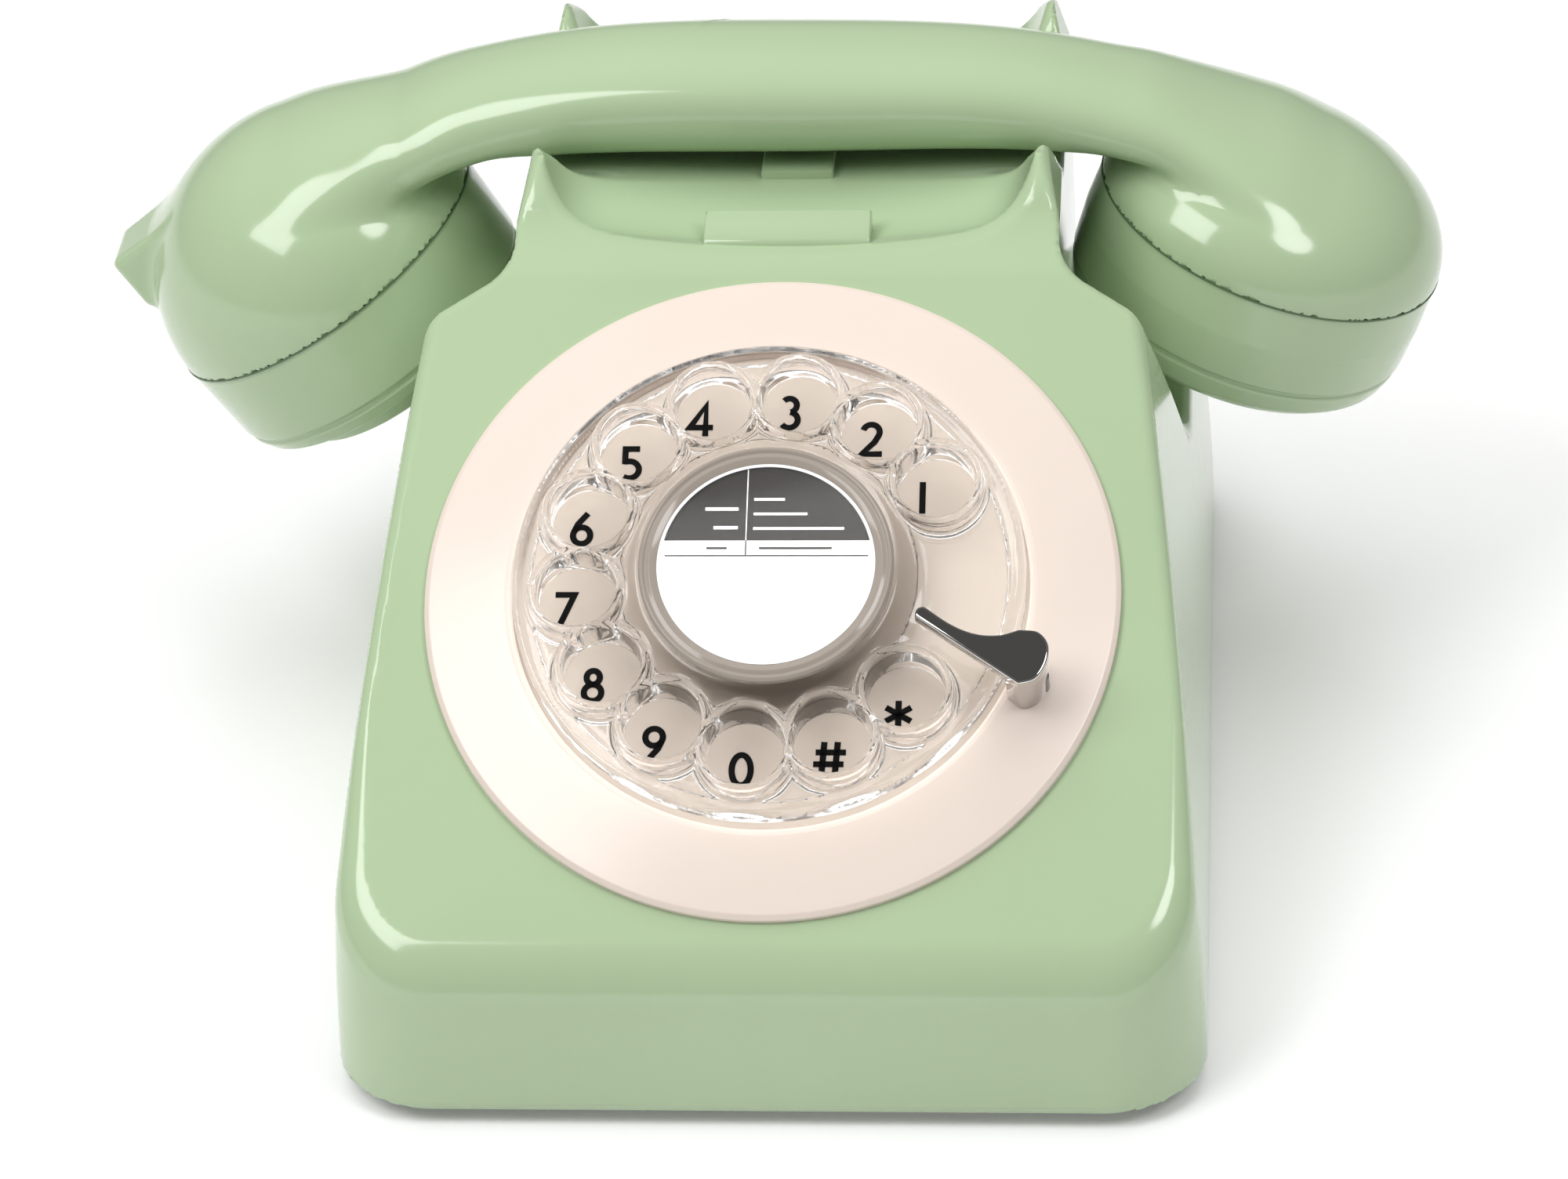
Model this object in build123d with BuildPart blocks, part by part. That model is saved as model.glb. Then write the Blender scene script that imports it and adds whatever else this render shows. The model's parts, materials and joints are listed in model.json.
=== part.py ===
"""Desk telephone with a rotary dial: sloping-faced case, dial, ringer, cradle and handset.

Millimetres, +Z up, the front of the telephone towards -Y. The sketches are drawn with X = 0 in
the case's middle plane. save() then moves each piece by MIDDLE_X, so that the origin lies
under the middle of the whole telephone, handset included, on the surface that the feet stand on.
"""

from math import acos, cos, pi, radians, sin, tan
import os

from build123d import *

os.makedirs("parts", exist_ok=True)

# ---------------------------------------------------------------- driving dimensions
# Case
CASE_DEPTH = 192.0          # front wall to rear wall at the base
BASE_HALF_WIDTH = 68.5      # the side walls curve inwards from here
MID_HALF_WIDTH = 65.4       # half width at MID_Z
MID_Z = 47.0
SKIRT_Z = 3.0               # lower edge of the case above the table
PLATE = 2.0                 # thickness of the base plate
LIP_Z = 28.4                # height of the edge between front wall and face
FACE_SLOPE = 33.0           # degrees from horizontal
WALL = 2.8
FRONT_Y = -CASE_DEPTH / 2
REAR_Y = CASE_DEPTH / 2
SHOULDER_X = 57.2           # half width of the face at its upper corners
SHOULDER_V = 115.0          # distance of those corners up the face
NECK_X = 44.3               # half width of the cradle block
DECK_Z = 50.0               # flat top of the case behind the shoulders
FRONT_CORNER_R = 16.0
REAR_CORNER_R = 14.0

MIDDLE_X = 5.5              # the case's middle plane; the handset reaches further on its left

# Cradle: the handset's grip lies across it, between two front and two rear horns
HORN_V = 137.8              # the horns leave the plane of the face here
HORN_TIP_X = 41.3
HORN_TIP_Z = 108.2
SEAT_Z = 94.4
HANDSET_Y = 50.0            # middle of the cradle and of the handset

# Dial
DIAL_V = 63.9               # dial centre, measured up the face from the lip
BEZEL_R = 55.0
DIAL_OPENING_R = 42.6
WHEEL_R = 41.0
HOLE_COUNT = 12
HOLE_CIRCLE_R = 30.1
HOLE_R = 6.2
COLLAR_R = 7.5
FIRST_HOLE_ANGLE = 30.2     # the hole of digit 1, counter-clockwise from +X
HOLE_PITCH = 26.1
COLLAR_TOP = 11.0           # heights above the plane of the face
WHEEL_BOTTOM = 4.4
RIM_TOP = 7.0
HUB_R = 20.7
HUB_TOP = 13.2
LABEL_R = 17.0
SPINDLE_R = 3.0
RUNNING_GAP = 0.05          # radial clearance of every shaft that turns

# Dial gear train
MODULE = 1.0
PRESSURE_ANGLE = 20.0
BACKLASH = 0.3
MAIN_TEETH = 44
PINION_TEETH = 11
GEAR_LOW, GEAR_HIGH = -8.5, -6.5
PINION_DISTANCE = MODULE * (MAIN_TEETH + PINION_TEETH) / 2 + 0.1
PINION_ANGLE = 215.0
PINION_SHAFT_R = 1.5
FRAME_LOW, FRAME_HIGH = -4.0, 0.4       # front plate of the dial mechanism
BRIDGE_LOW, BRIDGE_HIGH = -30.0, -28.0  # rear plate of the dial mechanism
POST_ANGLES = (60.0, 150.0, 290.0)
POST_CIRCLE_R = 33.0
WORM_WHEEL_R = 6.0
WORM_R = 2.2
GOVERNOR_N = -18.5                      # height of the governor's shaft

# Handset
CAP_R = 30.0
MOUTH = dict(x=-82.7, z=71.5, lean=32.0, dome=28.0)    # seam circle and height of the dome above it
EAR = dict(x=79.0, z=80.3, lean=-20.0, dome=17.0)
SHELL_WALL = 2.6
# Grip sections: x, height of the middle, half width, half height
GRIP_SECTIONS = (
    (-80.0, 86.0, 22.0, 12.5),
    (-60.0, 97.5, 17.5, 7.8),
    (-43.0, 102.4, 15.2, 7.2),
    (0.0, 104.9, 15.5, 9.2),
    (43.0, 102.6, 15.2, 7.0),
    (60.0, 97.8, 17.5, 7.4),
    (76.0, 87.0, 22.0, 10.8),
)


def up_the_face(v):
    """Y and Z of a point v up the face from the lip."""
    slope = radians(FACE_SLOPE)
    return FRONT_Y + v * cos(slope), LIP_Z + v * sin(slope)


def save(part, name):
    """Moves a finished piece into the telephone's frame, labels it and writes its STEP file."""
    part = part.moved(Location((MIDDLE_X, 0, 0)))
    part.label = name
    export_step(part, f"parts/{name}.step")


def seam_plane(end):
    """Plane of a handset seam; its normal points out through the cap."""
    lean = radians(end["lean"])
    return Plane(
        origin=(end["x"], HANDSET_Y, end["z"]),
        x_dir=(cos(lean), 0, sin(lean)),
        z_dir=(sin(lean), 0, -cos(lean)),
    )


def section_of(plane):
    """The plane that holds another plane's normal, for profiles that are revolved about it."""
    return Plane(origin=plane.origin, x_dir=plane.x_dir, z_dir=-plane.y_dir)


def ring(plane, low, high, outer_r, inner_r=0.0):
    """A disc, or a washer, between two heights above a plane."""
    with BuildPart() as piece:
        with BuildSketch(plane.offset(low)):
            Circle(outer_r)
            if inner_r:
                Circle(inner_r, mode=Mode.SUBTRACT)
        extrude(amount=high - low)
    return piece.part


def turned(plane, *profile):
    """A solid turned about a plane's normal from (radius, height) points."""
    with BuildPart() as piece:
        with BuildSketch(section_of(plane)):
            with BuildLine():
                Polyline(*profile, close=True)
            make_face()
        revolve(axis=Axis(plane.origin, plane.z_dir))
    return piece.part


def pan_screw(plane, points, head_at, length, shank_r):
    """Pan-head screws whose heads start at head_at and whose shanks run down the plane's normal."""
    with BuildPart() as screws:
        for x, y in points:
            with BuildSketch(plane.offset(head_at)):
                with Locations((x, y)):
                    Circle(shank_r * 2)
                    SlotOverall(shank_r * 2.8, 0.6, mode=Mode.SUBTRACT)
            extrude(amount=shank_r * 0.7)
            with BuildSketch(plane.offset(head_at)):
                with Locations((x, y)):
                    Circle(shank_r * 2)
            extrude(amount=shank_r * 0.5)
            with BuildSketch(plane.offset(head_at)):
                with Locations((x, y)):
                    Circle(shank_r)
            extrude(amount=-length)
    return screws.part


def polar(radius, angle):
    """X and Y of a point given by radius and angle in degrees."""
    return radius * cos(radians(angle)), radius * sin(radians(angle))


def gear(plane, low, high, teeth, centre, phase, bore_r):
    """An involute spur gear of the dial's module, one tooth pointing at phase degrees."""
    pitch_r = MODULE * teeth / 2
    base_r = pitch_r * cos(radians(PRESSURE_ANGLE))
    root_r = pitch_r - 1.2 * MODULE
    tip_r = pitch_r + 0.8 * MODULE

    def half_tooth(radius):
        """Half the angle that a tooth fills at a radius."""
        at_pitch = radians(PRESSURE_ANGLE)
        at_radius = acos(min(1.0, base_r / radius))
        half_pitch = pi / (2 * teeth) - BACKLASH / (2 * pitch_r)
        return half_pitch + (tan(at_pitch) - at_pitch) - (tan(at_radius) - at_radius)

    flank = [root_r] + [max(base_r, root_r) + step / 4 * (tip_r - max(base_r, root_r)) for step in range(5)]
    outline = []
    for tooth in range(teeth):
        middle = radians(phase) + 2 * pi * tooth / teeth
        for radius in flank:
            outline.append((radius, middle - half_tooth(radius)))
        for radius in reversed(flank):
            outline.append((radius, middle + half_tooth(radius)))
    with BuildPart() as wheel:
        with BuildSketch(plane.offset(low)):
            with Locations(centre):
                Polygon(*[(r * cos(a), r * sin(a)) for r, a in outline], align=None)
                Circle(bore_r, mode=Mode.SUBTRACT)
        extrude(amount=high - low)
    return wheel.part


DIAL_Y, DIAL_Z = up_the_face(DIAL_V)
dial_plane = Plane(
    origin=(0, DIAL_Y, DIAL_Z),
    x_dir=(1, 0, 0),
    z_dir=(0, -sin(radians(FACE_SLOPE)), cos(radians(FACE_SLOPE))),
)

# ---------------------------------------------------------------- case
SHOULDER_Y, SHOULDER_Z = up_the_face(SHOULDER_V)
FALL_Y, FALL_Z = up_the_face(122.6)     # where the shoulder's edge meets the neck
HORN_Y, HORN_Z = up_the_face(HORN_V)
FALL_SLOPE = 50.0
SHOULDER_EDGE = Vector(10.2, -5.9, -3.8).normalized()
LIP_CURVE = ((28, 98.4), (37, 101.0), (41.4, 106.0), (42.3, 112.0))
LIP_CENTRE_Z = 96.7
BOSS_POINTS = [(x, y) for x in (-60.5, 60.5) for y in (-58.0, 68.0)]
FOOT_POINTS = [(x, y) for x in (-48.0, 48.0) for y in (-74.0, 74.0)]
BOARD_POINTS = [(x, y) for x in (-40, 40) for y in (-80, -16)]
DIAL_SCREWS = [polar(48.5, angle) for angle in (75.0, 195.0, 315.0)]
STOP_SCREW = (42.9, -16.6)


def case_envelope(inset, bottom):
    """The body of the case before its shoulders and saddle are cut, every wall moved in by inset."""
    with BuildPart() as body:
        with BuildSketch(Plane.YZ):
            with BuildLine():
                Polyline(
                    (FRONT_Y - 1, bottom),
                    (FRONT_Y, LIP_Z),
                    (HORN_Y, HORN_Z),
                    (HORN_Y + 4.6, HORN_TIP_Z),
                    (HANDSET_Y - 19.5, 103.0),
                    (HANDSET_Y - 16.2, SEAT_Z + 1.6),
                    (HANDSET_Y - 12, SEAT_Z),
                    (HANDSET_Y + 12, SEAT_Z),
                    (HANDSET_Y + 16.2, SEAT_Z + 1.6),
                    (HANDSET_Y + 19.5, 103.0),
                    (HANDSET_Y + 25.0, HORN_TIP_Z),
                    (HANDSET_Y + 31.0, 104.5),
                    (HANDSET_Y + 36.0, 84.0),
                    (HANDSET_Y + 41.0, DECK_Z),
                    (REAR_Y, bottom),
                    close=True,
                )
            make_face()
            if inset:
                offset(amount=-inset, kind=Kind.INTERSECTION)
        extrude(amount=BASE_HALF_WIDTH + 10, both=True)
        with BuildSketch(Plane.XZ):
            with BuildLine():
                base = Line((0, bottom), (BASE_HALF_WIDTH, bottom))
                side = ThreePointArc(base @ 1, (MID_HALF_WIDTH, MID_Z), (SHOULDER_X, SHOULDER_Z))
                Polyline(
                    side @ 1,
                    (SHOULDER_X - 1.5, SHOULDER_Z + 4),
                    (NECK_X, 98),
                    (HORN_TIP_X, 109),
                    (0, 109),
                )
                mirror(about=Plane.YZ)
            make_face()
            if inset:
                offset(amount=-inset, kind=Kind.INTERSECTION)
        extrude(amount=CASE_DEPTH, both=True, mode=Mode.INTERSECT)
        upright = body.edges().filter_by(lambda e: abs(e.center().X) > 60 and e.length > 20 and e.center().Z > 8)
        fillet(upright.filter_by(lambda e: e.center().Y < FRONT_Y + 6), FRONT_CORNER_R - inset)
        upright = body.edges().filter_by(lambda e: abs(e.center().X) > 60 and e.length > 20 and e.center().Z > 8)
        rear = upright.filter_by(lambda e: e.center().Y > 85 and abs(e.tangent_at(0.5).Z) > 0.7)
        fillet(rear, REAR_CORNER_R - inset)
    return body.part


# Behind each shoulder the side falls steeply to the deck, so that the handset's caps hang clear.
with BuildPart() as right_fall:
    with BuildSketch(Plane.YZ.offset(NECK_X)):
        with BuildLine():
            run_up, run_down = 30, 70
            top = FALL_Z + run_up * tan(radians(FALL_SLOPE))
            foot = FALL_Z - run_down * tan(radians(FALL_SLOPE))
            Polyline((FALL_Y - run_up, top), (FALL_Y + run_down, foot), (180, foot), (180, top), close=True)
        make_face()
    extrude(amount=60, dir=SHOULDER_EDGE)
    with Locations((0, 0, DECK_Z)):
        Box(400, 400, 200, align=(Align.CENTER, Align.CENTER, Align.MIN), mode=Mode.INTERSECT)
inner_fall = right_fall.part.moved(Location((-WALL, -WALL, -WALL)))

# The saddle: a trough from front to back whose front edge is the curved lip over the face.
with BuildPart() as saddle:
    with BuildSketch(Plane.XZ.offset(60)):
        with BuildLine():
            Spline(*[(-x, z) for x, z in reversed(LIP_CURVE)], (0, LIP_CENTRE_Z), *LIP_CURVE)
            Line(LIP_CURVE[-1], (-LIP_CURVE[-1][0], LIP_CURVE[-1][1]))
        make_face()
    extrude(amount=-170)

# Hook bar and its guide
HOOK_Y = 16.3               # middle of the bar
HOOK_BAR = (27.2, 8.0)
HOOK_TONGUE = (12.0, 46.0)  # width, and how far back it reaches
HOOK_TOP = 97.9
HOOK_TRAVEL = 4.0
GAP = 0.4                   # around everything that slides

# Sockets and the ringer switch in the walls
LINE_SOCKET_X = -38.0
SWITCH_X = 38.0
CORD_SOCKET_Y = 36.0
SOCKET_Z = 14.0
SOCKET_SIZE = (13.0, 11.0)  # outside width and height of a socket's body
LINE_OPENING = (9.8, 6.8)
CORD_OPENING = (7.8, 6.8)
SWITCH_TRAVEL = 2.5

with BuildPart() as cavity:
    add(case_envelope(WALL, SKIRT_Z - WALL - 2))
    add(inner_fall, mode=Mode.SUBTRACT)
    add(inner_fall.mirror(Plane.YZ), mode=Mode.SUBTRACT)
    with Locations((0, HANDSET_Y, SEAT_Z - WALL)):
        Box(200, 100, 60, align=(Align.CENTER, Align.CENTER, Align.MIN), mode=Mode.SUBTRACT)
    # the walls of the carrying recess
    with Locations((0, HANDSET_Y + 30, 73)):
        Box(70, 42, 26, mode=Mode.SUBTRACT)
    # bosses for the base screws, standing on the base plate
    with BuildSketch(Plane.XY.offset(SKIRT_Z + PLATE)):
        with Locations(*BOSS_POINTS):
            Circle(4.5)
    extrude(amount=25, mode=Mode.SUBTRACT)

with BuildPart() as case:
    add(case_envelope(0, SKIRT_Z))
    add(right_fall.part, mode=Mode.SUBTRACT)
    add(right_fall.part.mirror(Plane.YZ), mode=Mode.SUBTRACT)
    neck = case.edges().filter_by(
        lambda e: abs(abs(e.center().X) - NECK_X) < 0.3 and e.length > 40 and 60 < e.center().Z < 85
    )
    fillet(neck.filter_by(lambda e: e.center().Y < 40), 6.0)
    add(saddle.part, mode=Mode.SUBTRACT)
    face_rim = case.faces().filter_by(dial_plane).sort_by(SortBy.AREA)[-1].outer_wire().edges()
    fillet(face_rim.filter_by(lambda e: e.length > 20 and e.center().Z < 80), 5.0)
    fillet(case.edges().filter_by(lambda e: abs(e.center().X) < 1 and e.length > 80 and 5 < e.center().Y < 12), 3.0)
    foot_edges = case.edges().filter_by(lambda e: abs(e.center().Z - DECK_Z) < 0.1 and e.center().Y < 48)
    fillet(foot_edges.filter_by(lambda e: 44 < abs(e.center().X) < 58), 6.0)
    add(cavity.part, mode=Mode.SUBTRACT)
    # dial opening and the holes of the dial screws
    add(ring(dial_plane, -12, 12, DIAL_OPENING_R), mode=Mode.SUBTRACT)
    with BuildSketch(dial_plane.offset(-12)):
        with Locations(*DIAL_SCREWS):
            Circle(1.6)
        with Locations(STOP_SCREW):
            Circle(1.3)
    extrude(amount=20, mode=Mode.SUBTRACT)
    # carrying recess under the rear horns
    with Locations((0, HANDSET_Y + 36, 73)):
        Box(64, 48, 20, mode=Mode.SUBTRACT)
    # slots of the hook bar and its tongue
    with BuildSketch(Plane.XY.offset(80)):
        with Locations((0, HOOK_Y)):
            Rectangle(HOOK_BAR[0] + 2 * GAP, HOOK_BAR[1] + 2 * GAP)
        with Locations((0, HOOK_Y)):
            Rectangle(HOOK_TONGUE[0] + 2 * GAP, HOOK_TONGUE[1] + GAP, align=(Align.CENTER, Align.MIN))
    extrude(amount=30, mode=Mode.SUBTRACT)
    # screw holes in the bosses
    with BuildSketch(Plane.XY):
        with Locations(*BOSS_POINTS):
            Circle(1.4)
    extrude(amount=24, mode=Mode.SUBTRACT)
    # openings for the two sockets and the ringer switch
    with Locations((LINE_SOCKET_X, REAR_Y, SOCKET_Z)):
        Box(SOCKET_SIZE[0] + 0.2, 14, SOCKET_SIZE[1] + 0.2, mode=Mode.SUBTRACT)
    with Locations((-BASE_HALF_WIDTH, CORD_SOCKET_Y, SOCKET_Z)):
        Box(14, SOCKET_SIZE[0] + 0.2, SOCKET_SIZE[1] + 0.2, mode=Mode.SUBTRACT)
    with Locations((SWITCH_X, REAR_Y, SOCKET_Z)):
        Box(12, 14, 4.8, mode=Mode.SUBTRACT)
save(case.part, "case")

with BuildPart() as base_plate:
    with BuildSketch(Plane.XY.offset(SKIRT_Z)):
        with Locations((0, -0.7)):
            RectangleRounded(130.0, 185.6, FRONT_CORNER_R - WALL)
        with Locations(*BOSS_POINTS):
            Circle(1.6, mode=Mode.SUBTRACT)
        with Locations(*FOOT_POINTS):
            Circle(2.5, mode=Mode.SUBTRACT)
    extrude(amount=PLATE)
    # standoffs of the circuit board
    with BuildSketch(Plane.XY.offset(SKIRT_Z + PLATE)):
        with Locations(*BOARD_POINTS):
            Circle(3)
            Circle(1.2, mode=Mode.SUBTRACT)
    extrude(amount=4)
save(base_plate.part, "base_plate")

with BuildPart() as rubber_feet:
    for x, y in FOOT_POINTS:
        with BuildSketch(Plane.XY):
            with Locations((x, y)):
                Circle(8.5)
        extrude(amount=SKIRT_Z)
        with BuildSketch(Plane.XY.offset(SKIRT_Z)):
            with Locations((x, y)):
                Circle(2.5)
        extrude(amount=PLATE)
    fillet(rubber_feet.edges().filter_by(lambda e: abs(e.center().Z) < 0.01), 0.8)
save(rubber_feet.part, "rubber_feet")

under = Plane(origin=(0, 0, 0), x_dir=(-1, 0, 0), z_dir=(0, 0, -1))
base_screw_points = [(-x, y) for x, y in BOSS_POINTS]
base_screws = pan_screw(under, base_screw_points, -SKIRT_Z, 20, 1.4)
save(base_screws, "base_screws")

# ---------------------------------------------------------------- dial, fixed pieces
# Finger stop: a curved arm over the wheel, on a post outside it
STOP_LOW, STOP_HIGH = 11.7, 14.2
POST_FOOT = 1.4             # the post stands in a pocket of the bezel
with BuildSketch(dial_plane) as stop_outline:
    with BuildLine():
        top_edge = Spline((24.9, -7.9), (29.3, -11.0), (33.0, -12.5), (36.6, -12.7), (39.7, -11.8))
        heel = ThreePointArc(top_edge @ 1, (44.2, -16.2), (39.6, -21.0))
        under_edge = Line(heel @ 1, (24.3, -10.2))
        ThreePointArc(under_edge @ 1, (23.6, -8.9), top_edge @ 0)
    make_face()
with BuildSketch(dial_plane) as post_outline:
    add(stop_outline.sketch_local)
    Circle(WHEEL_R + 0.7, mode=Mode.SUBTRACT)
with BuildPart() as finger_stop:
    with BuildSketch(dial_plane.offset(STOP_LOW)):
        add(stop_outline.sketch_local)
    extrude(amount=STOP_HIGH - STOP_LOW)
    fillet(finger_stop.faces().sort_by(Axis((0, 0, 0), dial_plane.z_dir))[-1].edges(), 0.7)
    with BuildSketch(dial_plane.offset(POST_FOOT)):
        add(post_outline.sketch_local)
    extrude(amount=STOP_LOW - POST_FOOT)
    with BuildSketch(dial_plane):
        with Locations(STOP_SCREW):
            Circle(1.2)
    extrude(amount=8, mode=Mode.SUBTRACT)
save(finger_stop.part, "finger_stop")

with BuildPart() as dial_bezel:
    add(turned(dial_plane, (DIAL_OPENING_R, -2.6), (DIAL_OPENING_R, 0), (BEZEL_R, 0), (BEZEL_R, 0.9),
               (BEZEL_R - 0.7, 1.5), (43.6, 3.0), (42.4, 2.9), (41.9, 2.2), (41.9, -2.6)))
    with BuildSketch(dial_plane.offset(-3)):
        with Locations(STOP_SCREW):
            Circle(1.2)
    extrude(amount=8, mode=Mode.SUBTRACT)
    with BuildSketch(dial_plane):
        with Locations(*DIAL_SCREWS):
            Circle(1.5)
    extrude(amount=1.2, mode=Mode.SUBTRACT)
    with BuildSketch(dial_plane.offset(POST_FOOT)):
        add(post_outline.sketch_local)
    extrude(amount=4, mode=Mode.SUBTRACT)
save(dial_bezel.part, "dial_bezel")

with BuildPart() as finger_stop_screw:
    with BuildSketch(dial_plane.offset(-WALL)):
        with Locations(STOP_SCREW):
            Circle(2.2)
    extrude(amount=-1.2)
    with BuildSketch(dial_plane.offset(-WALL)):
        with Locations(STOP_SCREW):
            Circle(1.2)
    extrude(amount=WALL + 7)
save(finger_stop_screw.part, "finger_stop_screw")

number_plate = ring(dial_plane, FRAME_HIGH, 1.9, 41.7, 8)
save(number_plate, "number_plate")

pinion_at = polar(PINION_DISTANCE, PINION_ANGLE)
posts_at = [polar(POST_CIRCLE_R, angle) for angle in POST_ANGLES]
with BuildPart() as dial_frame:
    add(ring(dial_plane, FRAME_LOW, FRAME_HIGH, 41.7, SPINDLE_R + RUNNING_GAP))
    # ears that reach under the face, for the dial screws
    with BuildSketch(dial_plane.offset(-WALL - 2)):
        for angle in (75.0, 195.0, 315.0):
            with Locations(polar(43, angle)):
                Rectangle(16, 10, rotation=angle)
        with Locations(*DIAL_SCREWS):
            Circle(1.6, mode=Mode.SUBTRACT)
    extrude(amount=1.9)
    with BuildSketch(dial_plane.offset(FRAME_LOW - 1)):
        with Locations(pinion_at):
            Circle(PINION_SHAFT_R + RUNNING_GAP)
    extrude(amount=2.5, mode=Mode.SUBTRACT)
    with BuildSketch(dial_plane.offset(BRIDGE_HIGH)):
        with Locations(*posts_at):
            Circle(2.5)
            Circle(1.2, mode=Mode.SUBTRACT)
    extrude(amount=FRAME_LOW - BRIDGE_HIGH)
save(dial_frame.part, "dial_frame")

dial_below = Plane(origin=dial_plane.origin, x_dir=(-1, 0, 0), z_dir=-dial_plane.z_dir)
dial_screws = pan_screw(dial_below, [(-x, y) for x, y in DIAL_SCREWS], WALL + 2, 5.9, 1.5)
save(dial_screws, "dial_screws")

with BuildPart() as dial_bridge:
    with BuildSketch(dial_plane.offset(BRIDGE_LOW)):
        Circle(36.5)
        Circle(SPINDLE_R + RUNNING_GAP, mode=Mode.SUBTRACT)
        with Locations(pinion_at):
            Circle(PINION_SHAFT_R + RUNNING_GAP, mode=Mode.SUBTRACT)
        with Locations(*posts_at):
            Circle(1.2, mode=Mode.SUBTRACT)
    extrude(amount=BRIDGE_HIGH - BRIDGE_LOW)
save(dial_bridge.part, "dial_bridge")

bridge_screws = pan_screw(dial_below, [(-x, y) for x, y in posts_at], -BRIDGE_LOW, 8, 1.2)
save(bridge_screws, "bridge_screws")

# Mainspring: a spiral strip around the spindle, its outer end on a frame post
SPRING_TURNS = 5
SPRING_LOW, SPRING_HIGH = -26.5, -21.5
SPRING_INNER_R, SPRING_PITCH, STRIP = 4.2, 1.5, 0.5
steps = SPRING_TURNS * 12
spiral = [(SPRING_INNER_R + SPRING_PITCH * k / 12, 30.0 * k) for k in range(steps + 1)]
with BuildPart() as mainspring:
    with BuildSketch(dial_plane.offset(SPRING_LOW)):
        with BuildLine():
            inner_side = Spline(*[polar(r, a) for r, a in spiral])
            outer_side = Spline(*[polar(r + STRIP, a) for r, a in spiral])
            Line(inner_side @ 0, outer_side @ 0)
            Line(inner_side @ 1, outer_side @ 1)
        make_face()
    extrude(amount=SPRING_HIGH - SPRING_LOW)
save(mainspring.part, "mainspring")

# Governor cup on the bridge; the worm shaft turns in it and in a small post
worm_y = pinion_at[1] - WORM_WHEEL_R - WORM_R - 0.3
cup_plane = Plane(
    origin=dial_plane.from_local_coords((-6, worm_y, GOVERNOR_N)), x_dir=dial_plane.y_dir, z_dir=(1, 0, 0)
)
with BuildPart() as governor_cup:
    add(turned(cup_plane, (1.05, -1.5), (7.5, -1.5), (7.5, 7), (6.3, 7), (6.3, 0), (1.05, 0)))
    with BuildSketch(dial_plane.offset(BRIDGE_HIGH)):
        with Locations((-6.7, worm_y), (-30, worm_y)):
            Rectangle(1.6, 6)
    extrude(amount=GOVERNOR_N - BRIDGE_HIGH + 3)
    with BuildSketch(cup_plane.offset(-30)):
        Circle(1.05)
    extrude(amount=40, mode=Mode.SUBTRACT)
save(governor_cup.part, "governor_cup")

# Pulse contacts: three blades in an insulating block beside the cam
cam_n = -15.0
block_at = polar(PINION_DISTANCE + 3, PINION_ANGLE - 30)
with BuildPart() as contact_block:
    with BuildSketch(dial_plane.offset(-14)):
        with Locations(block_at):
            Rectangle(7, 5)
    extrude(amount=14 + FRAME_LOW)
save(contact_block.part, "contact_block")

with BuildPart() as pulse_contacts:
    for step in (-1.6, 0, 1.6):
        with BuildSketch(dial_plane.offset(-20)):
            with Locations((block_at[0] + step, block_at[1] - 1.5)):
                Rectangle(0.35, 9)
        extrude(amount=6)
save(pulse_contacts.part, "pulse_contacts")

# ---------------------------------------------------------------- dial, turning pieces
hole_points = [polar(HOLE_CIRCLE_R, FIRST_HOLE_ANGLE + HOLE_PITCH * k) for k in range(HOLE_COUNT)]
with BuildPart() as finger_wheel:
    add(turned(
        dial_plane,
        (SPINDLE_R, WHEEL_BOTTOM), (WHEEL_R, WHEEL_BOTTOM), (WHEEL_R, RIM_TOP - 0.7), (WHEEL_R - 0.7, RIM_TOP),
        (WHEEL_R - 1.9, RIM_TOP), (WHEEL_R - 2.6, RIM_TOP - 0.9), (37.2, 6.2), (24.5, 8.2), (22.4, 9.6),
        (21.6, 11.4), (HUB_R, HUB_TOP - 1.6), (HUB_R - 1.4, HUB_TOP - 1.6), (HUB_R - 1.4, 7.4), (SPINDLE_R, 7.4),
    ))
    with BuildSketch(dial_plane.offset(WHEEL_BOTTOM)):
        with Locations(*hole_points):
            Circle(COLLAR_R)
    extrude(amount=COLLAR_TOP - WHEEL_BOTTOM)
    with BuildSketch(dial_plane.offset(WHEEL_BOTTOM - 1)):
        with Locations(*hole_points):
            Circle(HOLE_R)
    extrude(amount=COLLAR_TOP - WHEEL_BOTTOM + 2, mode=Mode.SUBTRACT)
    # the underside is hollow between rim and hub, so that the wheel is one thin moulding
    add(turned(dial_plane, (24.0, WHEEL_BOTTOM - 1), (22.0, WHEEL_BOTTOM - 1), (22.0, 6.6), (23.0, 6.6)),
        mode=Mode.SUBTRACT)
    rims = finger_wheel.edges().filter_by(GeomType.CIRCLE).filter_by(lambda e: abs(e.radius - HOLE_R) < 0.01)
    fillet(rims.group_by(Axis((0, 0, 0), dial_plane.z_dir))[-1], 0.5)
save(finger_wheel.part, "finger_wheel")

hub_ring = turned(
    dial_plane, (LABEL_R, 11.6), (HUB_R, 11.6), (HUB_R, HUB_TOP - 0.6), (HUB_R - 0.6, HUB_TOP),
    (LABEL_R + 0.9, HUB_TOP), (LABEL_R, HUB_TOP - 0.5),
)
save(hub_ring, "hub_ring")
save(ring(dial_plane, 11.6, 12.0, LABEL_R), "label_card")
save(turned(dial_plane, (0, 12.0), (LABEL_R, 12.0), (LABEL_R, 12.5), (LABEL_R - 0.3, 12.7), (0, 12.7)), "label_lens")
save(ring(dial_plane, 10.9, 11.6, HUB_R - 1.4, 2.0), "label_backing")

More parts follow.
